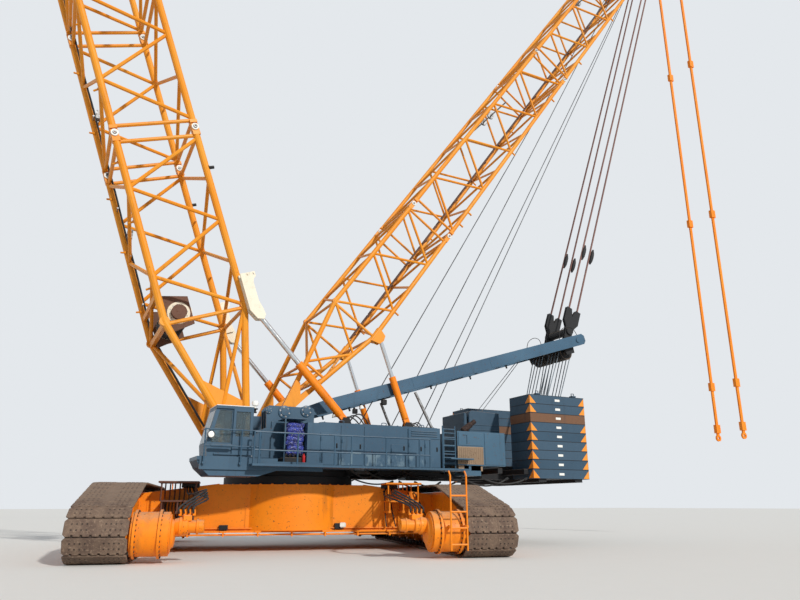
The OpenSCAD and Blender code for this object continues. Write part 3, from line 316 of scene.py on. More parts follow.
NODE_FINISH = {
    "car_body": ORANGE, "slew_ring": BLACK, "side_frame_left": ORANGE, "side_frame_right": ORANGE,
    "track_left": SHOE, "track_right": SHOE, "drives_left": ORANGE, "drives_right": ORANGE,
    "landings": LANDING, "turntable": BLACK, "foot_brackets": BLUE, "house_left": BLUE,
    "house_right": BLUE, "power_pack": PALE_BLUE, "rear_frame": BLACK, "counterweight_left": SLATE,
    "counterweight_right": SLATE, "cab": BLUE, "cab_door": BLUE, "cab_platform": BLUE,
    # The boom winch takes the dark brown as painted shade, the colour of its paint in shadow.
    "walkways": BLUE, "deck_winches": DRUM, "boom_winch": BROWN_AND_SHADE, "a_frame": AFRAME_BLUE,
    "mast_pendants": RED, "stay_bars": ORANGE, "main_stays": BOOM_PAINT, "hook_block": ORANGE,
    "boom_stop_heads": CREAM, "tip_sheaves": BLACK, "pendant_yoke": BLACK,
}


def finish_of(name):
    """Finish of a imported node. What has no entry is a section of the boom or the mast."""
    if "rod" in name:
        return CHROME
    if "barrel" in name:
        return ORANGE
    return NODE_FINISH.get(name, BOOM_PAINT)


for node_name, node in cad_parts.items():
    for material_slot in node.material_slots:
        material_slot.material = finish_of(node_name)


# Mesh making

def spread(vector, axis):
    """Two directions square to an axis and to each other."""
    side = vector.orthogonal().normalized() if axis is None else axis
    side = (side - side.dot(vector) * vector).normalized()
    return side, vector.cross(side)


class Shape:
    """A mesh in the making, in metres in the machine's frame."""

    def __init__(self):
        self.mesh = bmesh.new()

    def skin(self, rings, caps=True):
        rows = [[self.mesh.verts.new(point) for point in ring] for ring in rings]
        for low, high in zip(rows, rows[1:]):
            for i in range(len(low)):
                j = (i + 1) % len(low)
                self.mesh.faces.new((low[i], low[j], high[j], high[i]))
        if caps:
            self.mesh.faces.new(rows[0][::-1])
            self.mesh.faces.new(rows[-1])
        return self

    def ring(self, centre, side, up, radius, sides):
        turns = [math.tau * i / sides for i in range(sides)]
        return [centre + (side * math.cos(a) + up * math.sin(a)) * radius for a in turns]

    def tube(self, points, diameter, sides=8):
        points = [Vector(p) for p in points]
        rings, side = [], None
        for i, point in enumerate(points):
            ahead = (points[min(i + 1, len(points) - 1)] - points[max(i - 1, 0)]).normalized()
            side, up = spread(ahead, side)
            rings.append(self.ring(point, side, up, diameter / 2, sides))
        return self.skin(rings)

    def turned(self, start, axis, profile, sides=24):
        """Profile rows: distance along the axis, radius. A profile that ends where it starts is hollow."""
        start, axis = Vector(start), Vector(axis).normalized()
        side, up = spread(axis, None)
        rings = [self.ring(start + axis * along, side, up, radius, sides) for along, radius in profile]
        return self.skin(rings, caps=profile[0] != profile[-1])

    def plate(self, outline, thickness, bevel=0.003):
        """Flat outline with a thickness about its plane and bevelled edges."""
        outline = [Vector(p) for p in outline]
        count = len(outline)
        normal = Vector()
        for i in range(count):
            normal += outline[i].cross(outline[(i + 1) % count])
        normal.normalize()
        inner = []
        for i in range(count):
            before = (outline[i] - outline[i - 1]).normalized().cross(normal)
            after = (outline[(i + 1) % count] - outline[i]).normalized().cross(normal)
            inner.append(outline[i] - (before + after) / max(0.3, 1 + before.dot(after)) * bevel)
        half = normal * thickness / 2
        near = normal * max(0.0, thickness / 2 - bevel)
        return self.skin([
            [p - half for p in inner], [p - near for p in outline],
            [p + near for p in outline], [p + half for p in inner],
        ])

    def block(self, corner, opposite, bevel=0.004):
        """Box between two opposite corners, given in any order."""
        xs, ys, (z0, z1) = (sorted(pair) for pair in zip(corner, opposite))
        return self.level(xs, ys, (z0 + z1) / 2, z1 - z0, bevel)

    def level(self, xs, ys, z, thickness, bevel=0.004):
        """Flat plate between two values of X and two of Y, at the height z."""
        (x0, x1), (y0, y1) = xs, ys
        return self.plate([(x0, y0, z), (x1, y0, z), (x1, y1, z), (x0, y1, z)], thickness, bevel)

    def upright(self, xs, y, zs, thickness, bevel=0.004):
        """Flat plate that faces across the machine at y, between two values of X and two of Z."""
        (x0, x1), (z0, z1) = xs, zs
        return self.plate([(x0, y, z0), (x1, y, z0), (x1, y, z1), (x0, y, z1)], thickness, bevel)

    def bolt(self, place, axis, size):
        """Hexagon head with its washer. Size is the head's width."""
        profile = [(0, size * 0.95), (size * 0.12, size * 0.95), (size * 0.12, size * 0.58),
                   (size * 0.5, size * 0.58), (size * 0.56, size * 0.48)]
        return self.turned(place, axis, profile, 6)

    def piece(self, name, finish, body=None, slot=None, smooth=32):
        bmesh.ops.remove_doubles(self.mesh, verts=self.mesh.verts, dist=1e-6)
        bmesh.ops.recalc_face_normals(self.mesh, faces=self.mesh.faces)
        data = bpy.data.meshes.new(name)
        self.mesh.to_mesh(data)
        self.mesh.free()
        data.shade_smooth()
        data.set_sharp_from_angle(angle=math.radians(smooth))
        data.materials.append(finish)
        made = bpy.data.objects.new(name, data)
        bpy.context.scene.collection.objects.link(made)
        if body:
            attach(made, body)
        return made


def curve(points, steps):
    """Smooth line through the points."""
    points = [Vector(p) for p in points]
    ends = [2 * points[0] - points[1], *points, 2 * points[-1] - points[-2]]
    line = []
    for a, b, c, d in zip(ends, ends[1:], ends[2:], ends[3:]):
        for k in range(steps):
            t = k / steps
            line.append(0.5 * (2 * b + (c - a) * t + (2 * a - 5 * b + 4 * c - d) * t * t
                               + (3 * b - a - 3 * c + d) * t ** 3))
    return [*line, points[-1]]


def loop_hose(shape, start, end, drop, diameter):
    """Hose that hangs between two fittings, or stands up between them where the drop is negative."""
    start, end = Vector(start), Vector(end)
    line = []
    for k in range(13):
        t = k / 12
        sag = 4 * t * (1 - t)
        line.append(start.lerp(end, t) - Vector((0, 0, drop * sag)))
    shape.tube(line, diameter, 8)
    for end_point, towards in ((start, line[1]), (end, line[-2])):
        shape.turned(end_point, towards - end_point, [(-0.02, diameter * 0.8), (0.05, diameter * 0.8)], 6)


# Frames of the leaning members: local x, y across, height from the foot pin

def leaning(pin_x, pin_z, angle, forwards):
    c, s = math.cos(math.radians(angle)), math.sin(math.radians(angle))

    def place(x, y, height):
        if forwards:
            return Vector((pin_x - height * c + x * s, y, pin_z + height * s + x * c))
        return Vector((pin_x + height * c + x * s, y, pin_z + height * s - x * c))
    return place


on_boom = leaning(-1.02, 1.455, 70.6, True)
on_mast = leaning(-0.42, 2.27, 54.5, False)
on_aframe = leaning(-0.03, 2.305, 17.3, False)
BOOM_HW, BOOM_DEPTH, BOOM_CHORD = 0.89, 1.394, 0.13
MAST_HW, MAST_DEPTH, MAST_CHORD = 0.855, 1.02, 0.092
AFRAME_Y = 0.72
BOOM_JOINTS = (6, 9, 15, 21)
MAST_JOINTS = (5.15, 11.15, 17.15)
BOOM_LEN = 26.75
BOOM_SHEAVES = on_boom(-0.76, 0, BOOM_LEN)
HOOK_DROP = 6.0
HOOK = BOOM_SHEAVES - Vector((0, 0, HOOK_DROP))
MAST_TOP = on_mast(0, 0, 20.8)
TIP = on_aframe(0.19, 0, 6.47)
LOW_SHEAVES = Vector((5.4, 0, 1.6))
TIP_ROWS = (-0.48, -0.36, -0.24, -0.12, 0.12, 0.24, 0.36, 0.48)
LOW_ROWS = (-0.3, -0.18, -0.06, 0.06, 0.18, 0.3)
STAY_ROWS = (-0.18, -0.06, 0.06, 0.18)
HOOK_ROWS = (-0.28, -0.14, 0, 0.14, 0.28)


# Lattice members

def pin_heads(name, place, joints, half_width, depth, chord, body, slot):
    """Pale washer with a dark pin and its keeper at each end of the pins that join two sections."""
    washers, pins = Shape(), Shape()
    for height in joints:
        for x in (-depth / 2, depth / 2):
            for side in SIDES:
                for face in SIDES:
                    start = place(x, side * half_width + face * chord * 0.45, height)
                    outward = ACROSS * face
                    washers.turned(start, outward, [
                        (0, chord * 0.28), (0, chord * 0.5), (chord * 0.14, chord * 0.5),
                        (chord * 0.17, chord * 0.46), (chord * 0.17, chord * 0.28), (0, chord * 0.28),
                    ], 20)
                    pins.turned(start, outward, [
                        (0, chord * 0.27), (chord * 0.26, chord * 0.27), (chord * 0.3, chord * 0.22),
                        (chord * 0.3, chord * 0.1), (chord * 0.2, chord * 0.08),
                    ], 16)
    washers.piece(name + "_washers", WHITE, body, slot)
    pins.piece(name + "_pins", STEEL, body, "black_steel")


pin_heads("boom_joint", on_boom, BOOM_JOINTS, BOOM_HW, BOOM_DEPTH, BOOM_CHORD, "boom", "cream_paint")
pin_heads("mast_joint", on_mast, MAST_JOINTS, MAST_HW, MAST_DEPTH, MAST_CHORD, "mast", "cream_paint")


# Counterweight: blank plates and warning triangles on the outer sides of the slabs, lifting eyes

def warning_triangle(shape, x, y, z, along):
    """Triangle in a slab's corner. Along is the unit step in X and Y from the corner into the face."""
    near, far, foot, tip = 0.004, 0.15, 0.008, 0.165
    outline = [(x + along[0] * share, y + along[1] * share, z + height)
               for share, height in ((near, foot), (far, foot), (near, tip))]
    shape.plate(outline, 0.006, 0.0015)


def slab_fittings():
    triangles, plates, eyes = Shape(), Shape(), Shape()
    eye_foot, eye_top, eye_half = STACK_TOP + 0.03, STACK_TOP + 0.08, 0.03
    for side in SIDES:
        y = side * STACK_FACE
        for i in range(SLAB_N):
            z = SLAB_Z0 + i * SLAB_T
            plates.block((5.0, y - 0.003, z + 0.065), (5.12, y + 0.003, z + 0.11), 0.001)
            if i == BROWN_SLAB:
                continue
            for x, into in zip(STACK_X, (1, -1)):
                warning_triangle(triangles, x, y, z, (into, 0))
            for x in STACK_X:
                warning_triangle(triangles, x, y, z, (0, -side))
        middle = y - side * 0.045
        for x in (4.6, 5.5):
            eyes.block((x - 0.05, y, STACK_TOP), (x + 0.05, y - side * 0.09, STACK_TOP + 0.035), 0.008)
            eyes.tube([(x - eye_half, middle, eye_foot), (x - eye_half, middle, eye_top),
                       (x + eye_half, middle, eye_top), (x + eye_half, middle, eye_foot)], 0.018, 8)
    triangles.piece("slab_triangles", MARK_ORANGE, "superstructure", "boom_paint")
    plates.piece("slab_plates", WHITE, "superstructure", "cream_paint")
    eyes.piece("slab_lifting_eyes", SLATE, "superstructure", "weight_paint")


slab_fittings()


# Machinery houses: doors, louvres, handles, hinges

# Doors of a house: first x, last x, top z. All of them stand on the house's foot
HOUSE_DOORS = (
    (0.075, 0.425, 1.9), (0.455, 0.855, 1.87), (0.885, 1.06, 1.6), (1.08, 1.36, 1.6),
    (1.38, 1.69, 1.75), (1.725, 2.03, 1.85), (2.05, 2.355, 1.85),
)
HANDLED_DOOR_H = 0.3


def door_handle(shape, x, front, side, z):
    """Dark recess with a bent pull in front of it, above the door's foot at z."""
    pull = front + side * 0.022
    shape.block((x - 0.012, front, z + 0.28), (x + 0.012, front + side * 0.006, z + 0.36), 0.002)
    line = [(x, front, z + 0.29), (x, pull, z + 0.3), (x, pull, z + 0.34), (x, front, z + 0.35)]
    shape.tube(curve(line, 4), 0.009, 8)


def door_hinge(shape, x, front, side, z):
    """Knuckle with its leaf, at the door's edge x."""
    proud = front + side * 0.004
    shape.turned((x + 0.008, proud, z - 0.03), (0, 0, 1), [(0, 0.008), (0.06, 0.008)], 10)
    shape.block((x + 0.01, front, z - 0.025), (x + 0.045, proud, z + 0.025), 0.001)


def house_panels():
    skins, louvres, handles, hinges = Shape(), Shape(), Shape(), Shape()
    panel_t, panel_bevel = 0.02, 0.004
    louvre_x, louvre_z = (1.725, 2.355), (1.87, 2.04)
    for side in SIDES:
        y = side * HOUSE_FACE
        front = y + side * panel_t / 2
        for x0, x1, top in HOUSE_DOORS:
            skins.upright((x0, x1), y, (HOUSE_FOOT, top), panel_t, panel_bevel)
            if top - HOUSE_FOOT > HANDLED_DOOR_H:
                door_handle(handles, x1 - 0.06, front, side, HOUSE_FOOT)
                for z in (HOUSE_FOOT + 0.1, top - 0.1):
                    door_hinge(hinges, x0, front, side, z)
        skins.upright(louvre_x, y, louvre_z, panel_t, panel_bevel)
        x0, x1 = louvre_x[0] + 0.05, louvre_x[1] - 0.05
        lip = front + side * 0.014
        for k in range(3):
            z = louvre_z[0] + 0.06 + k * 0.04
            low = z - 0.018
            louvres.plate([(x0, front, z), (x1, front, z), (x1, lip, low), (x0, lip, low)], 0.004, 0.001)
    skins.piece("house_panels", BLUE, "superstructure", "house_paint")
    louvres.piece("house_louvres", BLUE, "superstructure", "house_paint")
    handles.piece("house_handles", BLACK, "superstructure", "black_steel")
    hinges.piece("house_hinges", BLUE, "superstructure", "house_paint")


house_panels()


# Taut ropes: reeving of the A-frame, ropes of the mast, falls of the stays and of the hook

def straight_ropes(name, ends, diameter, body=None, joined=None, finish=ROPE):
    """Each row of ends is a lower and an upper point. Joined names the two bodies that the ropes join."""
    ropes = Shape()
    for low, high in ends:
        ropes.tube([low, high], diameter, 6)
    made = ropes.piece(name, finish, body)
    if joined:
        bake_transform(made)


def aframe_reeving():
    """Falls between the A-frame's tip and the sheaves of the rear base."""
    low_rows = (LOW_ROWS[0], *LOW_ROWS, LOW_ROWS[-1])
    ends = []
    for y_low, y_high in zip(low_rows, TIP_ROWS):
        for side in SIDES:
            low = LOW_SHEAVES + Vector((side * 0.185, y_low, 0))
            high = TIP + Vector((side * 0.165, y_high, 0))
            ends.append((low, high))
    straight_ropes("aframe_reeving", ends, 0.022, joined=("superstructure", "aframe"), finish=FALLS)


def rear_drum_ropes():
    """Two ropes from the rear drum up to the A-frame."""
    ends = [((3.78 + x, y, 2.36), on_aframe(0.1, y, 5.3 + x)) for x, y in ((-0.1, -0.32), (0.08, -0.2))]
    straight_ropes("rear_drum_ropes", ends, 0.014, joined=("superstructure", "aframe"))


def mast_ropes():
    """Ropes from the deck's drums to the mast's head: x and y on the deck, offset in x at the head."""
    deck_z, narrowing = 1.95, 0.6
    ends = [((x, y, deck_z), (MAST_TOP.x + dx, y * narrowing, MAST_TOP.z))
            for x, y, dx in ((1.1, -0.3, -0.26), (1.85, -0.16, -0.2), (2.5, 0.06, 0.2), (2.85, 0.3, 0.26))]
    straight_ropes("mast_ropes", ends, 0.02, joined=("superstructure", "mast"))


def stay_falls():
    """Falls between the main stays' block and the mast's head. They turn with the stays."""
    block = on_boom(0.3, 0, BOOM_LEN).lerp(MAST_TOP, 0.58)
    along = (MAST_TOP - block).normalized()
    over = Vector((-along.z, 0, along.x))
    ends = []
    for y in STAY_ROWS:
        for side in SIDES:
            offset = ACROSS * y
            ends.append((block + offset + over * side * 0.205, MAST_TOP + offset + over * side * 0.255))
    straight_ropes("stay_falls", ends, 0.022, body="main_stays", finish=FALLS)


def hook_falls():
    """Falls between the hook block and the boom's head."""
    ends = []
    for y in HOOK_ROWS:
        for side in SIDES:
            low = (HOOK.x + side * 0.25, y, HOOK.z)
            high = (BOOM_SHEAVES.x + side * 0.3, y, BOOM_SHEAVES.z)
            ends.append((low, high))
    straight_ropes("hook_falls", ends, 0.028, joined=("hook_block", "boom"))


aframe_reeving()
rear_drum_ropes()
mast_ropes()
stay_falls()
hook_falls()


# Cab: glass, rails, seat, console and lamps

PANE_T, PANE_BEVEL = 0.006, 0.001
RAIL_Y = -1.7


def cab_panes():
    panes = Shape()
    side_window = ((-1.45, 1.66), (-1.76, 1.66), (-1.65, 2.16), (-1.45, 2.16))
    for y in (-1.59, -1.01):
        panes.plate([(x, y, z) for x, z in side_window], PANE_T, PANE_BEVEL)
    # Front and rear window: x and z of the foot, x and z of the head, both values of y
    for foot_x, foot_z, head_x, head_z, y0, y1 in (
        (-1.822, 1.655, -1.702, 2.165, -1.545, -1.055),
        (-1.12, 1.8, -1.12, 2.14, -1.52, -1.08),
    ):
        panes.plate([(foot_x, y0, foot_z), (foot_x, y1, foot_z), (head_x, y1, head_z), (head_x, y0, head_z)],
                    PANE_T, PANE_BEVEL)
    panes.level((-1.6, -1.25), (-1.5, -1.1), 2.222, PANE_T, PANE_BEVEL)
    panes.piece("cab_panes", GLASS, "superstructure")


def cab_rails():
    """Rails on the cab's platform, clear of the sliding door, with a bar on the middle one."""
    rails = Shape()
    front, post, back, foot, top = -1.86, -1.3, -1.0, 1.32, 1.86
    for z in (1.6, 1.85):
        rails.tube([(front, RAIL_Y, z), (back, RAIL_Y, z)], 0.022, 8)
        rails.tube([(front, RAIL_Y, z), (front, RAIL_Y + 0.15, z)], 0.022, 8)
    for x in (front, post, back):
        rails.tube([(x, RAIL_Y, foot), (x, RAIL_Y, top)], 0.024, 8)
        rails.block((x - 0.02, RAIL_Y - 0.01, 1.33), (x + 0.02, RAIL_Y + 0.12, 1.36), 0.004)
    rails.block((-1.78, RAIL_Y - 0.035, 1.578), (-1.44, RAIL_Y + 0.015, 1.628), 0.02)
    rails.piece("cab_rails", BLUE, "superstructure", "house_paint")


def cab_door_pane():
    pane = Shape()
    pane.upright((-1.39, -1.16), -1.6175, (1.76, 2.14), PANE_T, PANE_BEVEL)
    pane.piece("cab_door_pane", GLASS, "cab_door")


def cab_console():
    """Dashboard, and an arm box with a lever on each side of the seat."""
    console = Shape()
    console.block((-1.72, -1.5, 1.48), (-1.62, -1.1, 1.72), 0.02)
    console.plate([(-1.66, -1.48, 1.72), (-1.56, -1.48, 1.78), (-1.56, -1.12, 1.78), (-1.66, -1.12, 1.72)],
                  0.02, 0.005)
    knob = [(0, 0.012), (0.01, 0.018), (0.03, 0.018), (0.04, 0.01)]
    for y in (-1.46, -1.14):
        console.block((-1.5, y - 0.035, 1.5), (-1.26, y + 0.035, 1.67), 0.012)
        console.tube([(-1.46, y, 1.66), (-1.47, y, 1.75)], 0.012, 8)
        console.turned((-1.47, y, 1.74), (0, 0, 1), knob, 12)
    console.piece("cab_console", BLACK, "superstructure", "black_steel")


def cab_seat():
    """Seat, back and head rest as one padded piece on its base."""
    seat = Shape()
    seat.block((-1.48, -1.41, 1.58), (-1.26, -1.19, 1.65), 0.025)
    seat.block((-1.29, -1.41, 1.64), (-1.22, -1.19, 1.92), 0.025)
    seat.block((-1.28, -1.37, 1.93), (-1.23, -1.23, 2.0), 0.025)
    cushion = seat.piece("cab_seat", SEAT_CLOTH, "superstructure", "black_steel", smooth=60)
    rounding = cushion.modifiers.new("rounding", "SUBSURF")
    rounding.levels = rounding.render_levels = 2
    base = Shape()
    column = [(0, 0.1), (0.02, 0.1), (0.03, 0.05), (0.11, 0.05), (0.12, 0.09), (0.13, 0.09)]
    base.turned((-1.37, -1.3, 1.47), (0, 0, 1), column, 20)
    base.piece("cab_seat_base", BLACK, "superstructure", "black_steel")


def cab_roof():
    roof = Shape()
    roof.block((-1.7, -1.605, 2.2295), (-1.1, -0.995, 2.242), 0.004)
    roof.piece("cab_roof_edge", WHITE, "superstructure", "cream_paint")


def cab_lamps():
    """Work lamp on the cab's side and a lamp on a bracket behind its roof."""
    lenses, bases = Shape(), Shape()
    lamp_x, lamp_z = -1.77, 1.77
    lenses.turned((lamp_x, -1.675, lamp_z), (0, -1, 0), [(0, 0.05), (0.012, 0.045), (0.018, 0.02)], 20)
    bowl = [(0, 0.02), (0.02, 0.03), (0.04, 0.055), (0.08, 0.058), (0.08, 0.05), (0.07, 0.05)]
    bases.turned((lamp_x, -1.6, lamp_z), (0, -1, 0), bowl, 20)
    roof_x, roof_y = -1.05, -1.4
    foot = [(0, 0.02), (0.05, 0.025), (0.055, 0.05), (0.07, 0.05)]
    bases.turned((roof_x, roof_y, 2.17), (0, 0, 1), foot, 16)
    bases.block((-1.14, roof_y - 0.02, 2.165), (-1.02, roof_y + 0.02, 2.19), 0.005)
    bases.piece("cab_lamp_bases", BLACK, "superstructure", "black_steel")
    dome = [(0, 0.02), (0.05, 0.02), (0.055, 0.045), (0.1, 0.055), (0.13, 0.045), (0.14, 0.02)]
    lenses.turned((roof_x, roof_y, 2.23), (0, 0, 1), dome, 20)
    lenses.piece("cab_roof_lamp", LENS, "superstructure", "cream_paint")


cab_panes()
cab_rails()
cab_door_pane()
cab_console()
cab_seat()
cab_roof()
cab_lamps()


# Undercarriage frame, turned against the boom: u across the tracks, v along them

TURN = math.radians(-12)
GAUGE = 5.31
TRACK_LEN, TRACK_END_H, TRACK_TOP_H, TRACK_TOP_LEN, TOP_R = 6.7, 0.73, 1.07, 3.3, 0.2
SHOE_PITCH, SHOE_T, SHOE_W, LINK_H = 0.228, 0.038, 0.765, 0.062
END_V = (TRACK_LEN - TRACK_END_H) / 2
AXLE_Z = TRACK_END_H / 2


def on_base(u, v, z):
    c, s = math.cos(TURN), math.sin(TURN)
    return Vector((u * c - v * s, u * s + v * c, z))


def belt_line():
    """Line of the chain in (v, z): round two end wheels and both ends of the level upper run."""
    end_r = AXLE_Z - SHOE_T
    top_z = TRACK_TOP_H - SHOE_T - TOP_R
    wheels = [(-END_V, AXLE_Z, end_r), (END_V, AXLE_Z, end_r),
              (TRACK_TOP_LEN / 2, top_z, TOP_R), (-TRACK_TOP_LEN / 2, top_z, TOP_R)]

    def leave(a, b):
        run = math.hypot(b[0] - a[0], b[1] - a[1])
        return math.atan2(b[1] - a[1], b[0] - a[0]) - math.acos((a[2] - b[2]) / run)

    line = []
    for i, (v, z, r) in enumerate(wheels):
        start = leave(wheels[i - 1], wheels[i])
        stop = leave(wheels[i], wheels[(i + 1) % 4])
        while stop < start:
            stop += math.tau
        for k in range(25):
            a = start + (stop - start) * k / 24
            line.append(Vector((v + r * math.cos(a), z + r * math.sin(a))))
    return line


def stations(line, pitch):
    """Points at even steps round a closed line, about a pitch apart."""
    runs = [(b - a).length for a, b in zip(line, line[1:] + line[:1])]
    count = round(sum(runs) / pitch)
    step, points, i, gone = sum(runs) / count, [], 0, 0.0
    for k in range(count):
        while gone + runs[i] < k * step:
            gone += runs[i]
            i += 1
        points.append(line[i].lerp(line[(i + 1) % len(line)], (k * step - gone) / runs[i]))
    return points


def shoe_outline(half_pitch, half_width):
    """Plate of a shoe from above: cut corners, and lobes along the edge that meets the next shoe."""
    cut, notch = 0.03, 0.022
    end, side = half_pitch - cut, half_width - cut
    outline = [(-half_pitch, side), (-half_pitch, -side), (-end, -half_width), (end, -half_width),
               (half_pitch, -side)]
    for k in range(6):
        w = (k - 2.5) * 0.11
        outline += [(half_pitch, w - 0.018), (half_pitch - notch, w - 0.011),
                    (half_pitch - notch, w + 0.011), (half_pitch, w + 0.018)]
    return outline + [(half_pitch, side), (end, half_width), (-end, half_width)]


def track(side, name):
    """Shoes with pads and bolts, two rows of links and their pins."""
    shoes, links = Shape(), Shape()
    pad = ((-0.07, -0.13), (0.055, -0.13), (0.055, 0.13), (-0.07, 0.13))
    link = ((-0.125, -0.05), (-0.11, -LINK_H), (0.11, -LINK_H), (0.125, -0.05), (0.125, -0.02), (0.07, 0),
            (-0.07, 0), (-0.125, -0.02))
    lip_w = SHOE_W / 2 - 0.03
    lip = ((0.06, -lip_w), (0.117, -lip_w), (0.117, lip_w), (0.06, lip_w))
    points = stations(belt_line(), SHOE_PITCH)
    for start, stop in zip(points, points[1:] + points[:1]):
        along = (stop - start).normalized()
        out = Vector((along.y, -along.x))
        middle = (start + stop) / 2

        def place(a, n, w):
            point = middle + along * a + out * n
            return on_base(side * GAUGE / 2 + w, point.x, point.y)

        outward = place(0, 1, 0) - place(0, 0, 0)
        outline = shoe_outline(0.11, SHOE_W / 2)
        shoes.plate([place(a, SHOE_T * 0.5, w) for a, w in outline], SHOE_T * 0.72, 0.006)
        for row in (-0.2, 0.2):
            shoes.plate([place(a, SHOE_T * 0.84, row + w) for a, w in pad], SHOE_T * 0.2, 0.002)
            for a in (-0.045, 0.03):
                for w in (-0.09, -0.03, 0.03, 0.09):
                    links.turned(place(a, SHOE_T * 0.88, row + w), outward, [(0, 0.013), (0.0042, 0.012)], 6)
            links.plate([place(a, n, row * 0.7) for a, n in link], 0.07, 0.004)
        links.tube([place(0.114, -0.032, -0.2), place(0.114, -0.032, 0.2)], 0.034, 10)
        links.plate([place(a, -0.002, w) for a, w in lip], 0.014, 0.002)
    shoe_piece = shoes.piece(name + "_shoes", SHOE, "undercarriage", "track_steel")
    link_piece = links.piece(name + "_links", LINK, "undercarriage", "track_steel")
    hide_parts(name)
    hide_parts(name)


track(-1, "track_left")
track(1, "track_right")


# Final drives: bolt rings, motor parts, hoses

# Height of a travel motor's axis over the track's axles
MOTOR_RISE = 0.09


def ring_of_bolts(shape, centre, axis, radius, count, size):
    axis = Vector(axis).normalized()
    side, up = spread(axis, None)
    for place in shape.ring(Vector(centre), side, up, radius, count):
        shape.bolt(place, axis, size)


def base_box(shape, corner, opposite, bevel=0.004):
    """Box whose sides lie along the undercarriage frame, between two opposite corners."""
    (u0, u1), (v0, v1), (z0, z1) = (sorted(pair) for pair in zip(corner, opposite))
    z = (z0 + z1) / 2
    shape.plate([on_base(u, v, z) for u, v in ((u0, v0), (u1, v0), (u1, v1), (u0, v1))], z1 - z0, bevel)


def travel_motor(motors, bolts, su, v):
    """Cover of the drive and the motor that stands out of it, with a bolt ring on each flange."""
    inward = on_base(-su, 0, 0)
    for u, radius, count, size in ((2.198, 0.294, 26, 0.018), (1.892, 0.294, 26, 0.018),
                                   (1.793, 0.235, 18, 0.02)):
        ring_of_bolts(bolts, on_base(su * u, v, AXLE_Z), inward, radius, count, size)
    cover = [(0, 0.25), (0.02, 0.25), (0.03, 0.19), (0.06, 0.17), (0.075, 0.1)]
    motors.turned(on_base(su * 1.795, v, AXLE_Z), inward, cover, 32)
    z = AXLE_Z + MOTOR_RISE
    housing = [(0, 0.1), (0.06, 0.115), (0.065, 0.125), (0.1, 0.125), (0.105, 0.11), (0.17, 0.11),
               (0.18, 0.1)]
    motors.turned(on_base(su * 1.74, v, z), inward, housing, 24)
    end_cap = [(0, 0.09), (0.005, 0.1), (0.03, 0.1), (0.035, 0.09), (0.1, 0.085), (0.11, 0.06)]
    motors.turned(on_base(su * 1.46, v, z), inward, end_cap, 24)
    ring_of_bolts(bolts, on_base(su * 1.6175, v, z), inward, 0.1, 8, 0.018)
    motors.block(on_base(su * 1.52, v - 0.07, z + 0.07), on_base(su * 1.66, v + 0.07, z + 0.15), 0.01)


def motor_hoses(hoses, motors, su, sv):
    """Four hoses from the motor's fittings to a block on the landing."""
    fitting = [(0, 0.022), (0.05, 0.022), (0.055, 0.017), (0.08, 0.017)]
    z = AXLE_Z + MOTOR_RISE
    block_u = su * 1.66
    end_z = 1.03 if sv < 0 else 0.86
    base_box(hoses, (block_u - 0.14, sv * 0.94, end_z - 0.03),
             (block_u + 0.14, sv * 1.04, end_z + 0.035), 0.01)
    for k, u in enumerate((1.5, 1.56, 1.62, 1.68)):
        start = on_base(su * u, sv * END_V, z + 0.14)
        rise = start + Vector((0, 0, 0.12))
        way = on_base(su * (u - 0.16 - 0.05 * k), sv * (END_V - 0.35), z + 0.36 + 0.04 * k)
        knee = on_base(su * (1.5 + 0.05 * k), sv * (1.3 + 0.1 * k), end_z - 0.14)
        end = on_base(su * (1.6 + 0.04 * k), sv * 1.0, end_z)
        hoses.tube(curve([start, rise, way, knee, end], 8), 0.026, 8)
        motors.turned(start, (0, 0, 1), fitting, 6)


def drive_details():
    bolts, motors, hoses = Shape(), Shape(), Shape()
    for su in SIDES:
        for sv in SIDES:
            travel_motor(motors, bolts, su, sv * END_V)
            motor_hoses(hoses, motors, su, sv)
    bolts.piece("drive_bolts", BLACK, "undercarriage", "undercarriage_paint")
    motors.piece("drive_motors", ORANGE, "undercarriage", "undercarriage_paint")
    hoses.piece("drive_hoses", RUBBER, "undercarriage", "black_steel")


drive_details()


# Car body: seams, covers, pipes, sockets and hoses

BODY_FACE = 0.95
ARM_U, ARM_Z = (1.21, 2.44), (1.064, 0.904)


def body_plates(skins, sv):
    """Seams and cover plates of one long face."""
    face = sv * BODY_FACE
    for u in (-2.3, -1.62, -0.75, 0.7, 1.5, 2.3):
        base_box(skins, (u - 0.012, face, 0.33), (u + 0.012, face + sv * 0.012, 0.88), 0.003)
    for cover in (((1.56, 0.42), (2.2, 0.42), (2.2, 0.66), (1.56, 0.7)),
                  ((-2.25, 0.42), (-1.7, 0.42), (-1.7, 0.72), (-2.25, 0.68))):
        skins.plate([on_base(u, face, z) for u, z in cover], 0.016, 0.004)


def body_pipes(rods, sv):
    """Two pipes along the foot of a long face, on brackets."""
    face = sv * BODY_FACE
    for k in range(9):
        u = -2.2 + 0.55 * k
        base_box(rods, (u - 0.05, face, 0.3), (u + 0.05, face + sv * 0.16, 0.33))
        base_box(rods, (u - 0.012, face + sv * 0.05, 0.24), (u + 0.012, face + sv * 0.15, 0.3), 0.002)
    for z, off, size in ((0.365, 0.03, 0.022), (0.27, 0.1, 0.03)):
        rods.tube([on_base(-2.4, face + sv * off, z), on_base(2.4, face + sv * off, z)], size, 10)


def body_sockets(darks, whites, sv):
    """Dark clamps on the pipes, and a pale socket in a dark holder."""
    face = sv * BODY_FACE
    for u in (-1.1, 0.1, 1.9):
        base_box(darks, (u - 0.07, face, 0.345), (u + 0.07, face + sv * 0.09, 0.42))
    base_box(darks, (0.72, face, 0.35), (0.86, face + sv * 0.07, 0.44))
    base_box(whites, (0.8, face, 0.37), (0.9, face + sv * 0.1, 0.45), 0.015)


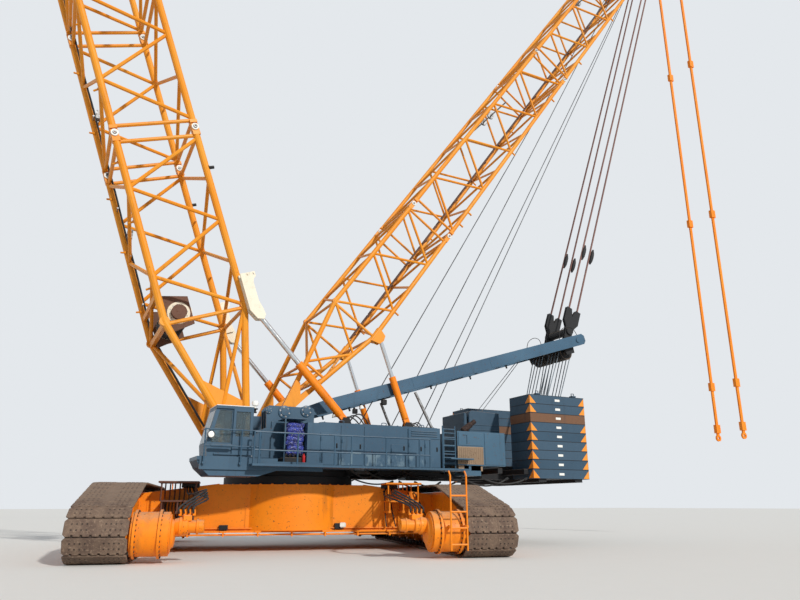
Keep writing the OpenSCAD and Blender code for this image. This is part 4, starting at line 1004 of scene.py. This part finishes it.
def body_hoses(hoses, sv):
    """Hoses that come down a long face beside the two landings."""
    for k, u in enumerate((1.55, 1.63, 1.98, 2.1)):
        top = on_base(u, sv * 0.9, 1.0 - 0.16 * (u - ARM_U[0]))
        bend = on_base(u + 0.02, sv * 0.99, 0.93)
        fall = on_base(u + 0.03 + 0.05 * k, sv * 1.03, 0.6)
        foot = on_base(u + 0.05 + 0.08 * k, sv * 1.05, 0.38)
        hoses.tube(curve([top, bend, fall, foot], 8), 0.02, 8)
    for k in range(7):
        u = -2.02 + 0.05 * k
        line = [on_base(u, sv * 1.0, 0.775), on_base(u, sv * 1.02, 0.66), on_base(u + 0.06, sv * 1.1, 0.46),
                on_base(u + 0.3, sv * 1.12, 0.36)]
        hoses.tube(curve(line, 6), 0.018, 8)


def arm_edges(skins):
    """Strips along the sloping upper edges of the arms, and the bolts of the slewing ring."""
    ring_r, ring_z = 1.165, 1.0604
    (u0, u1), (z0, z1) = ARM_U, ARM_Z
    for v0, v1 in ((0.9, BODY_FACE), (-BODY_FACE, -0.9)):
        for su in SIDES:
            skins.plate([on_base(su * u0, v0, z0), on_base(su * u1, v0, z1), on_base(su * u1, v1, z1),
                         on_base(su * u0, v1, z0)], 0.014, 0.004)
    for angle in range(0, 360, 10):
        a = math.radians(angle)
        skins.bolt(Vector((ring_r * math.cos(a), ring_r * math.sin(a), ring_z)), (0, 0, 1), 0.03)


def body_details():
    skins, rods, darks, whites, hoses = Shape(), Shape(), Shape(), Shape(), Shape()
    for sv in SIDES:
        body_plates(skins, sv)
        body_pipes(rods, sv)
        body_sockets(darks, whites, sv)
        body_hoses(hoses, sv)
    arm_edges(skins)
    skins.piece("body_seams", ORANGE, "undercarriage", "undercarriage_paint")
    rods.piece("body_rods", ORANGE, "undercarriage", "undercarriage_paint")
    darks.piece("body_clamps", BLACK, "undercarriage", "black_steel")
    whites.piece("body_sockets", WHITE, "undercarriage", "cream_paint")
    hoses.piece("body_hoses", RUBBER, "undercarriage", "black_steel")


body_details()


# Ladders at the ends of the tracks, upper plates of the landings on their posts

LANDING_U = 1.825
LANDING_FLOOR, LANDING_TOP = 0.79, 1.07


def base_ladders():
    ladders = Shape()
    for s in SIDES:
        v = -s * 3.37
        for u in (2.0, 2.24):
            bend = on_base(s * u, v + s * 0.06, 1.2)
            ladders.tube([on_base(s * u, v, 0.12), on_base(s * u, v, 1.14), bend], 0.026, 8)
            base_box(ladders, (s * (u - 0.02), v, 0.42), (s * (u + 0.02), v + s * 0.1, 0.46), 0.003)
        for z in (0.2, 0.42, 0.64, 0.86):
            ladders.tube([on_base(s * 2.0, v, z), on_base(s * 2.24, v, z)], 0.026, 8)
    ladders.piece("base_ladders", ORANGE, "undercarriage", "undercarriage_paint")


def landing_posts(su, name):
    posts = Shape()
    middle = su * LANDING_U
    for u in (-0.24, 0, 0.24):
        for v, foot in ((-1.34, 0.62), (-0.99, 0.33)):
            posts.tube([on_base(middle + u, v, foot), on_base(middle + u, v, LANDING_FLOOR)], 0.03, 8)
        base_box(posts, (middle + u - 0.02, -1.36, 0.6), (middle + u + 0.02, -BODY_FACE, 0.64))
    for k in range(7):
        u = middle + (k - 3) * 0.075
        posts.tube([on_base(u, -1.0, LANDING_FLOOR), on_base(u, -1.0, LANDING_TOP)], 0.022, 8)
    for u in (middle - 0.26, middle + 0.26):
        posts.tube([on_base(u, -1.33, LANDING_FLOOR), on_base(u, -1.33, LANDING_TOP)], 0.026, 8)
    base_box(posts, (middle - 0.31, -1.38, LANDING_TOP - 0.005),
             (middle + 0.31, -0.93, LANDING_TOP + 0.025), 0.006)
    posts.piece(name, LANDING, "undercarriage", "undercarriage_paint")


base_ladders()
landing_posts(-1, "landing_posts_left")
landing_posts(1, "landing_posts_right")


# Side frames: rubbed plates, roller caps and end covers

def side_frame_details():
    caps, plates = Shape(), Shape()
    roller_cap = [(0, 0.05), (0.015, 0.05), (0.02, 0.035), (0.03, 0.035), (0.034, 0.02)]
    end_cover = [(0, 0.2), (0.012, 0.2), (0.02, 0.12), (0.04, 0.11), (0.045, 0.06)]
    for su in SIDES:
        middle = su * GAUGE / 2
        for face in SIDES:
            axis = on_base(face, 0, 0)
            for k in range(9):
                v = (k / 8 - 0.5) * 4.7
                caps.turned(on_base(middle + face * 0.27, v, 0.1854), axis, roller_cap, 16)
            for sv in SIDES:
                caps.turned(on_base(middle + face * 0.3, sv * END_V, AXLE_Z), axis, end_cover, 28)
            u = middle + face * 0.214
            for v0, v1 in ((-1.6, -0.85), (-0.35, 0.35), (0.85, 1.6)):
                plates.plate([on_base(u, v0, 0.36), on_base(u, v1, 0.36), on_base(u, v1, 0.8),
                              on_base(u, v0, 0.8)], 0.01, 0.003)
    caps.piece("roller_caps", ORANGE, "undercarriage", "undercarriage_paint")
    plates.piece("side_frame_plates", ORANGE, "undercarriage", "undercarriage_paint")


side_frame_details()


# Belly and roofs of the superstructure

ROOF_Z = 2.074
NICHE_X, NICHE_FACE = (-0.54, -0.155), 1.45


def under_deck(x):
    """Height of the deck's underside, lower at the rear frame."""
    return 1.215 if x > 2.6 else 1.31


def deck_hoses(hoses, side):
    """Hoses under the deck, and short ones over the feet of the stop cylinders."""
    # First x, last x, drop
    runs = ((0.75, 1.3, 0.12), (1.0, 1.9, 0.15), (1.7, 2.7, 0.1), (2.9, 3.9, 0.14), (3.3, 4.3, 0.1))
    for k, (x0, x1, drop) in enumerate(runs):
        start = (x0, side * (1.2 + 0.04 * k), under_deck(x0))
        end = (x1, side * (1.16 + 0.05 * k), under_deck(x1))
        loop_hose(hoses, start, end, drop, 0.03)
    z = 2.08
    for k in range(3):
        start, end = (0.55 + 0.1 * k, side * 0.95, z), (1.0 + 0.09 * k, side * 0.98, z)
        loop_hose(hoses, start, end, -0.17 - 0.03 * k, 0.024)
        start, end = (1.95 + 0.08 * k, side * 0.8, z), (2.25 + 0.05 * k, side * 0.84, z)
        loop_hose(hoses, start, end, -0.12 - 0.02 * k, 0.02)


def house_roof(roof, dark, side):
    """Bolted covers, lifting eyes and a grille on a house's roof."""
    for x0, x1 in ((0.1, 0.8), (0.85, 1.6), (1.65, 2.33)):
        roof.level((x0, x1), (side * 1.17, side * 1.42), ROOF_Z, 0.012, 0.004)
        for x in (x0 + 0.06, x1 - 0.06):
            for y in (1.2, 1.39):
                roof.bolt((x, side * y, ROOF_Z + 0.005), (0, 0, 1), 0.022)
    y, eye_top = side * 1.44, HOUSE_TOP + 0.04
    for x in (0.45, 1.25, 2.0):
        x0, x1 = x - 0.04, x + 0.04
        roof.tube(curve([(x0, y, HOUSE_TOP), (x0, y, eye_top), (x1, y, eye_top), (x1, y, HOUSE_TOP)], 4),
                  0.014, 8)
    for k in range(12):
        x = 1.72 + 0.045 * k
        dark.level((x, x + 0.03), (side * 1.19, side * 1.4), ROOF_Z + 0.01, 0.008, 0.002)


def rear_box(boxes, dark, side):
    """Doors with a long handle on the rear box's side, grille on its roof."""
    y = side * REAR_BOX_FACE
    for xs, zs in (((2.77, 3.3), (1.79, 2.03)), ((3.34, 3.78), (1.45, 2.03))):
        boxes.upright(xs, y, zs, 0.018, 0.004)
    handle_y = y + side * 0.012
    dark.tube([(2.86, handle_y, 1.98), (2.95, handle_y, 1.98), (2.95, handle_y, 1.82)], 0.008, 6)
    for k in range(14):
        x = 2.84 + 0.06 * k
        dark.level((x, x + 0.04), (side * 0.75, side * 1.3), 2.055, 0.012, 0.003)


def belly_boxes(belly, side):
    belly.block((-0.6, side * 0.25, 1.235), (1.0, side * 0.75, 1.32), 0.01)
    belly.block((1.3, side * 0.7, 1.24), (2.55, side * 1.1, 1.32), 0.01)
    for x in (2.9, 3.7, 4.3):
        belly.block((x - 0.05, side * 0.62, 1.3), (x + 0.05, side * 1.38, 1.4), 0.006)


def rear_steps(steps, side):
    """Ladder between the house and the rear box, with a step plate."""
    y = side * REAR_BOX_FACE
    ladder_x = (2.46, 2.7)
    for x in ladder_x:
        steps.tube([(x, y, 1.28), (x, y, 2.06)], 0.022, 8)
    for k in range(7):
        z = 1.34 + 0.11 * k
        steps.tube([(ladder_x[0], y, z), (ladder_x[1], y, z)], 0.018, 8)
    steps.block((2.5, side * 1.38, 1.52), (2.98, side * 1.62, 1.545), 0.004)


def rear_louvres(louvres, side):
    """Tan louvre panel on the rear box, two blocks under it."""
    y = side * REAR_BOX_FACE
    louvres.upright((2.75, 3.31), y, (1.45, 1.77), 0.014, 0.004)
    low, high, near, far = 1.47, 1.75, y + side * 0.007, y + side * 0.018
    for k in range(13):
        x0 = 2.78 + 0.041 * k
        x1 = x0 + 0.018
        louvres.plate([(x0, near, low), (x1, far, low), (x1, far, high), (x0, near, high)], 0.004, 0.001)
    for x0, x1 in ((2.78, 3.0), (3.05, 3.3)):
        louvres.block((x0, side * 1.1, 1.33), (x1, side * 1.4, 1.44), 0.01)


def exhaust_silencer(exhaust, side):
    """Slanted silencer with an open pipe, on a post on the rear box's roof."""
    y = side * 1.2
    outline = [(0, 0.045), (0.02, 0.058), (0.22, 0.058), (0.24, 0.045), (0.34, 0.045), (0.34, 0.038),
               (0.3, 0.02)]
    exhaust.turned((3.0, y, 2.08), (0.82, 0, 0.57), outline, 20)
    exhaust.tube([(3.12, y, 2.05), (3.12, y, 2.15)], 0.03, 8)


def rear_winch_covers(covers):
    """Narrow and wide cover of the rear winch: first x, last x, top, radius of the first upper edge."""
    foot, half_width = 2.06, 0.45
    for x0, x1, top, r in ((3.5, 3.57, 2.55, 0.02), (3.62, 4.36, 2.6, 0.09)):
        turns = (0, 0.4, 0.8, 1.2, math.pi / 2)
        arc = [(x0 + r * (1 - math.cos(a)), top - r * (1 - math.sin(a))) for a in turns]
        outline = ((x0, foot), *arc, (x1, top - 0.03), (x1, foot))
        covers.plate([(x, 0, z) for x, z in outline], 2 * half_width, 0.012)
        for z in (2.3, 2.2):
            for side in SIDES:
                covers.block((x0 + 0.02, side * 0.445, z), (x1 - 0.02, side * 0.458, z + 0.015), 0.003)


def niche(bundle, dark, roof):
    """Bundle of cloth in the niche behind the bracket, the gear under it, and the niche's edges."""
    fold = [(0, 0.03), (0.03, 0.055), (0.12, 0.06), (0.2, 0.055), (0.27, 0.06), (0.3, 0.03)]
    for k in range(7):
        wave = 0.02 * math.sin(k * 2.1)
        bundle.turned((-0.47 + wave, -1.3, 1.56 + 0.075 * k), (1, 0.05 * math.sin(k), 0), fold, 14)
    dark.block((-0.52, -1.42, 1.385), (-0.17, -0.97, 1.48), 0.01)
    for k in range(5):
        x = -0.5 + 0.07 * k
        dark.tube(curve([(x, -1.4, 1.48), (x + 0.02, -1.38, 1.53), (x + 0.06, -1.33, 1.5)], 4), 0.022, 8)
    roof.block((NICHE_X[0], -NICHE_FACE, 2.1), (NICHE_X[1], -1.0, 2.115), 0.004)
    roof.block((NICHE_X[0] - 0.005, -NICHE_FACE, 1.38), (NICHE_X[0] + 0.015, 0.03 - NICHE_FACE, 2.1), 0.003)


def small_red_cylinder():
    cylinder = Shape()
    outline = [(0, 0.022), (0.005, 0.025), (0.11, 0.025), (0.13, 0.012), (0.15, 0.012)]
    cylinder.turned((-0.2, -1.44, 1.39), (0, 0, 1), outline, 16)
    cylinder.piece("small_red_cylinder", SAFETY_RED, "superstructure", "house_paint")


def deck_details():
    hoses, roof, dark, boxes, bundle, belly = Shape(), Shape(), Shape(), Shape(), Shape(), Shape()
    louvres, exhaust, covers, steps = Shape(), Shape(), Shape(), Shape()
    for side in SIDES:
        deck_hoses(hoses, side)
        house_roof(roof, dark, side)
        rear_box(boxes, dark, side)
        belly_boxes(belly, side)
        rear_steps(steps, side)
        rear_louvres(louvres, side)
        exhaust_silencer(exhaust, side)
    rear_winch_covers(covers)
    niche(bundle, dark, roof)
    hoses.piece("deck_hoses", RUBBER, "superstructure", "black_steel")
    roof.piece("house_roofs", BLUE, "superstructure", "house_paint")
    dark.piece("deck_dark_parts", BLACK, "superstructure", "black_steel")
    boxes.piece("rear_box_doors", PALE_BLUE, "superstructure", "house_paint")
    bundle.piece("cloth_bundle", BUNDLE_CLOTH, "superstructure", "house_paint", smooth=60)
    belly.piece("belly_boxes", BLACK, "superstructure", "black_steel")
    louvres.piece("rear_box_louvres", LOUVRE, "superstructure", "house_paint")
    exhaust.piece("exhaust_silencers", RUSTY, "superstructure", "black_steel")
    covers.piece("rear_winch_covers", COVER, "superstructure", "weight_paint")
    steps.piece("rear_steps", PALE_BLUE, "superstructure", "house_paint")


deck_details()
small_red_cylinder()


# Foot brackets and their bosses, the winches' windings

# Pins of mast, A-frame, bracket eye and boom: x, z, face of the boss, radius
BOSSES = (
    (-0.42, 2.27, BRACKET_FACE, 0.11), (-0.03, 2.305, BRACKET_FACE, 0.1),
    (-0.7, 2.286, BRACKET_FACE, 0.06), (-1.02, 1.455, 0.985, 0.1),
)
# Drums on the deck: x, z, diameter
DRUMS = ((0.9, 1.72, 0.46), (1.7, 1.72, 0.46), (2.42, 1.7, 0.42), (3.05, 1.76, 0.38), (3.78, 2.33, 0.3))
BOOM_DRUM = (-0.37, 2.74)


def boss_profile(radius):
    return [(0, radius), (0.016, radius), (0.022, radius * 0.86), (0.022, radius * 0.62),
            (0.034, radius * 0.58), (0.036, radius * 0.2)]


def winding(core, lift, turns, pitch, length):
    """Profile of the rope on a drum: one ridge for each turn."""
    profile = [(0, core)]
    for k in range(turns):
        for share, swell in ((0.2, 0.006), (0.5, 0.009), (0.8, 0.006), (1.0, 0.0)):
            profile.append(((k + share) * pitch, core + lift + swell))
    return [*profile, (length, core)]


def bracket_details():
    rings, bolts, rope = Shape(), Shape(), Shape()
    for side in SIDES:
        outward = (0, side, 0)
        for x, z, face, radius in BOSSES:
            rings.turned((x, side * face, z), outward, boss_profile(radius), 28)
            ring_of_bolts(bolts, (x, side * (face + 0.022), z), outward, radius * 0.74, 6, radius * 0.16)
        for x in (-0.62, -0.2):
            rings.block((x - 0.02, side * 0.95, 1.4), (x + 0.02, side * 0.975, 2.1), 0.006)
    for x, z, diameter in DRUMS:
        rope.turned((x, -0.315, z), (0, 1, 0), winding(diameter / 2, 0.02, 30, 0.021, 0.63), 24)
        for side in SIDES:
            ring_of_bolts(bolts, (x, side * 0.432, z), (0, side, 0), 0.075, 8, 0.014)
    rings.piece("bracket_bosses", BLUE, "superstructure", "house_paint")
    bolts.piece("bracket_bolts", STEEL, "superstructure", "black_steel")
    rope.piece("deck_winch_windings", ROPE, "superstructure", "rope_steel")


def boom_winch_winding():
    wound = Shape()
    x, height = BOOM_DRUM
    wound.turned(on_boom(x, -0.517, height), ACROSS, winding(0.212, 0.013, 48, 0.0215, 1.035), 24)
    wound.piece("boom_winch_winding", ROPE, "boom", "rope_steel")


bracket_details()
boom_winch_winding()


# Small gear on the boom and the mast

CHORD_X = BOOM_DEPTH / 2


def stub(shape, start, end, size):
    """Short peg with a collar at its foot."""
    start, end = Vector(start), Vector(end)
    axis = end - start
    shape.turned(start, axis, [(0, size), (0.01, size), (0.014, size * 0.6), (axis.length, size * 0.6),
                               (axis.length + 0.004, size * 0.45)], 10)


def boom_stubs(stubs):
    """Pegs along the chords, and gusset plates above the boom's feet."""
    for s in (3.2, 4.4, 5.5, 6.9, 8.2, 10.2, 12, 13.8, 15.8, 17.6, 19.4, 21.6, 23):
        for side in SIDES:
            outer, inner = side * 0.83, side * 0.72
            stub(stubs, on_boom(-CHORD_X - 0.05, outer, s), on_boom(-CHORD_X - 0.13, side * 0.78, s), 0.03)
            stub(stubs, on_boom(CHORD_X, outer, s + 0.4), on_boom(CHORD_X, inner, s + 0.4), 0.03)
    gusset = ((-0.4, 1.52), (-0.19, 0.7), (0.19, 0.7), (0.25, 0.92))
    for side in SIDES:
        stubs.plate([on_boom(x, side * BOOM_HW, s) for x, s in gusset], 0.03, 0.004)


def boom_cables(cables):
    """Bundle along the far front chord: offset towards the middle, diameter."""
    for offset, size in ((0.0, 0.03), (0.035, 0.022), (0.07, 0.02), (0.1, 0.014)):
        y = 0.77 - offset
        path = [on_boom(-0.08, y + 0.01, 0.4), on_boom(-0.5, y, 2.0), on_boom(-0.66, y, 2.7)]
        path += [on_boom(-0.665 + 0.01 * (k % 2), y, 3.2 + 0.8 * k) for k in range(29)]
        cables.tube(curve(path, 3), size, 8)


def cable_clamps(clamps):
    """Bars that carry the cables, two junction boxes and the bolts of the hoist drum."""
    for k in range(24):
        s = 3.3 + k * 0.97
        stub(clamps, on_boom(-CHORD_X, 0.64, s), on_boom(-CHORD_X, 0.83, s), 0.018)
    half = Vector((0.05, 0.07, 0.09))
    for s in (4.7, 7.2):
        middle = on_boom(-0.6, 0.7, s)
        clamps.block(middle - half, middle + half, 0.01)
    x, height = BOOM_DRUM
    for side in SIDES:
        ring_of_bolts(clamps, on_boom(x, side * 0.585, height), ACROSS * side, 0.15, 12, 0.02)


def boom_gear():
    stubs, cables, clamps, lamps, flanges = Shape(), Shape(), Shape(), Shape(), Shape()
    boom_stubs(stubs)
    boom_cables(cables)
    cable_clamps(clamps)
    x, height = BOOM_DRUM
    flange = [(0, 0.235), (0.03, 0.235), (0.035, 0.2), (0.05, 0.19), (0.055, 0.1)]
    for side in SIDES:
        stub(lamps, on_boom(0.74, side * 0.9, 5.2), on_boom(0.84, side * 0.9, 5.2), 0.05)
        flanges.turned(on_boom(x, side * 0.54, height), ACROSS * side, flange, 32)
    flanges.piece("boom_winch_flanges", CREAM, "boom", "cream_paint")
    stubs.piece("boom_stubs", BOOM_PAINT, "boom", "boom_paint")
    cables.piece("boom_cables", RUBBER, "boom", "black_steel")
    clamps.piece("boom_cable_clamps", STEEL, "boom", "black_steel")
    lamps.piece("boom_lamps", BLACK, "boom", "black_steel")


def mast_gear():
    lugs, walk, guides = Shape(), Shape(), Shape()
    for s in (2.95, 5.6, 5.99, 8.15, 10.36, 12.08, 14.3, 16.4, 18.3):
        for side in SIDES:
            stub(lugs, on_mast(0.54, side * MAST_HW, s), on_mast(0.64, side * MAST_HW, s), 0.032)
    # Walkway plates along the far lower chord, with their cross bars
    near, far, step = 0.62, 0.81, 0.75
    for k in range(23):
        s = 2.6 + k * step
        end = s + step - 0.03
        walk.plate([on_mast(0.43, near, s), on_mast(0.43, near, end), on_mast(0.43, far, end),
                    on_mast(0.43, far, s)], 0.02, 0.004)
        walk.tube([on_mast(0.45, near - 0.02, s + 0.1), on_mast(0.45, far + 0.03, s + 0.1)], 0.024, 8)
    groove = [(0, 0.09), (0.008, 0.09), (0.014, 0.075), (0.026, 0.075), (0.032, 0.09), (0.04, 0.09)]
    for s in (9.2, 15.2):
        for y in (-0.16, 0.16):
            guides.turned(on_mast(-0.3, y - 0.02, s), ACROSS, groove, 20)
        guides.tube([on_mast(-0.3, -0.84, s), on_mast(-0.3, 0.84, s)], 0.035, 10)
    lugs.piece("mast_lugs", BOOM_PAINT, "mast", "boom_paint")
    walk.piece("mast_walkway", BROWN_AND_SHADE, "mast", "black_steel")
    guides.piece("mast_rope_guides", STEEL, "mast", "black_steel")


boom_gear()
mast_gear()


# Sheaves: rims and hubs on both faces

def sheave_faces(name, middle, rows, radius, body):
    """Faces of the sheaves that stand side by side on one pin. Rows are their places across."""
    rims = Shape()
    half_width = 0.03
    profile = [(-0.004, radius * 0.98), (0.006, radius * 0.98), (0.008, radius * 0.88),
               (-0.003, radius * 0.84), (-0.003, radius * 0.4), (0.008, radius * 0.34), (0.01, radius * 0.2)]
    for y in rows:
        for side in SIDES:
            rims.turned(middle + ACROSS * (y + side * half_width), ACROSS * side, profile, 28)
    rims.piece(name, DRUM, body, "black_steel")


sheave_faces("boom_head_sheaves", BOOM_SHEAVES, (-0.42, *HOOK_ROWS, 0.42), 0.31, "boom")
sheave_faces("mast_head_sheaves", MAST_TOP, STAY_ROWS, 0.26, "mast")
sheave_faces("tip_sheave_faces", TIP, TIP_ROWS, 0.17, "aframe")
sheave_faces("low_sheave_faces", LOW_SHEAVES, LOW_ROWS, 0.19, "superstructure")
sheave_faces("hook_sheave_faces", HOOK, HOOK_ROWS, 0.26, "hook_block")


# A-frame: lamps, beam plates, connectors of the pendants and struts

def beam_gear(dark, lamps, side):
    """Pegs, a lamp and a junction box under one beam, a cable loop at its tip."""
    y = side * AFRAME_Y
    for s in (0.9, 2.7, 4.6):
        stub(dark, on_aframe(0.12, y, s), on_aframe(0.19, y, s), 0.03)
    lamp_s, box_s = 1.15, 1.62
    bowl = [(0, 0.02), (0.02, 0.035), (0.06, 0.05), (0.07, 0.046)]
    lamps.turned(on_aframe(0.14, y, lamp_s), (0.2, 0, -1), bowl, 16)
    box, half = on_aframe(0.2, y, box_s), Vector((0.045, 0.04, 0.05))
    dark.block(box - half, box + half, 0.01)
    stub(dark, on_aframe(0.08, y, lamp_s), on_aframe(0.15, y, lamp_s), 0.03)
    stub(dark, on_aframe(0.08, y, box_s), on_aframe(0.17, y, box_s), 0.04)
    loop = ((-0.1, 0.62, 6.3), (-0.3, 0.6, 6.42), (-0.36, 0.6, 6.62), (-0.28, 0.62, 6.78),
            (-0.08, 0.66, 6.82))
    dark.tube(curve([on_aframe(x, side * out, s) for x, out, s in loop], 6), 0.014, 8)


def pendant_connectors():
    """Spindle-shaped rope sockets above the yoke."""
    connectors = Shape()
    socket = [(0, 0.02), (0.1, 0.05), (0.2, 0.055), (0.3, 0.05), (0.42, 0.018)]
    for y in (-0.34, 0.34):
        for x, z in ((7.05, 6.48), (7.29, 6.4)):
            connectors.turned((x, y, z), (0.367, 0, 1), socket, 12)
    connectors.piece("pendant_connectors", BLACK, "pendants", "black_steel")


def aframe_strut(side, name):
    """Telescopic strut between the deck and a beam."""
    strut = Shape()
    low, high = Vector((2.55, side * 0.86, 2.1)), Vector((2.2, side * 0.8, 2.82))
    strut.tube([low, high], 0.056, 14)
    made = strut.piece(name, STEEL)
    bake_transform(made)


def aframe_gear():
    plates, dark, lamps = Shape(), Shape(), Shape()
    depth, outer = 0.105, 0.78
    for side in SIDES:
        y = side * outer
        for s0, s1 in ((0.55, 2.2), (2.3, 4.1), (4.2, 5.1)):
            plates.plate([on_aframe(-depth, y, s0), on_aframe(-depth, y, s1), on_aframe(depth, y, s1),
                          on_aframe(depth, y, s0)], 0.006, 0.002)
        beam_gear(dark, lamps, side)
    inner = 0.66
    for s in (1.2, 3.3, 5.2):
        dark.tube([on_aframe(0, -inner, s - 0.5), on_aframe(0, inner, s + 0.4)], 0.06, 10)
        dark.tube([on_aframe(0.02, inner, s - 0.5), on_aframe(0.02, -inner, s + 0.4)], 0.06, 10)
    plates.piece("aframe_side_plates", AFRAME_BLUE, "aframe", "house_paint")
    dark.piece("aframe_dark_gear", BLACK, "aframe", "black_steel")
    lamps.piece("aframe_lamps", LENS, "aframe", "cream_paint")


aframe_gear()
pendant_connectors()
aframe_strut(-1, "aframe_strut_left")
aframe_strut(1, "aframe_strut_right")


# Floor, light and camera

def floor():
    """Plain pale floor."""
    finish = Finish("floor_finish")
    grain = finish.noise(3, 3)
    material = finish.wear(finish.mix(grain * 0.25, "#dcdbd7", "#d2d1cc"), 0.85 + grain * 0.05)
    reach = 150
    data = bpy.data.meshes.new("floor")
    corners = [(-reach, -reach, 0), (reach, -reach, 0), (reach, reach, 0), (-reach, reach, 0)]
    data.from_pydata(corners, [], [(0, 1, 2, 3)])
    data.materials.append(material)
    made = bpy.data.objects.new("floor", data)
    bpy.context.scene.collection.objects.link(made)


def backdrop():
    """Soft fill light on the machine, and a pale sky for the camera, for gloss and through glass."""
    world = bpy.data.worlds.new("studio")
    bpy.context.scene.world = world
    world.use_nodes = True
    sky = Nodes(world.node_tree)
    fill = sky.tree.nodes["Background"]
    sky.plug(fill.inputs["Color"], (0.86, 0.9, 0.96, 1))
    sky.plug(fill.inputs["Strength"], 0.55)
    seen = sky.node("ShaderNodeBackground", {}, {"Color": linear("#e4e8ec"), "Strength": 1.0})
    shown = sky.node("ShaderNodeLightPath", {}, {}, "Is Camera Ray")
    for kind in ("Is Glossy Ray", "Is Transmission Ray"):
        ray = sky.node("ShaderNodeLightPath", {}, {}, kind)
        shown = shown.maths("MAXIMUM", shown, ray)
    mixed = sky.node("ShaderNodeMixShader", {}, {0: shown, 1: Signal(sky, fill.outputs[0]), 2: seen})
    sky.plug(sky.tree.nodes["World Output"].inputs["Surface"], mixed)


def sun():
    key = bpy.data.lights.new("key", "SUN")
    key.energy = 2.9
    key.angle = math.radians(2.5)
    key.color = (1.0, 0.97, 0.92)
    lamp = bpy.data.objects.new("key", key)
    lamp.rotation_euler = (math.radians(60), 0, math.radians(14))
    bpy.context.scene.collection.objects.link(lamp)


def camera():
    lens = bpy.data.cameras.new("camera")
    lens.lens, lens.sensor_width = 30.6, 36
    lens.clip_end = 400
    made = bpy.data.objects.new("camera", lens)
    made.location = (-3.803, -12.445, 0.7275)
    made.rotation_euler = (math.radians(106.8), 0, math.radians(-26))
    bpy.context.scene.collection.objects.link(made)
    bpy.context.scene.camera = made
    bpy.context.scene.view_settings.view_transform = "Standard"


floor()
backdrop()
sun()
camera()
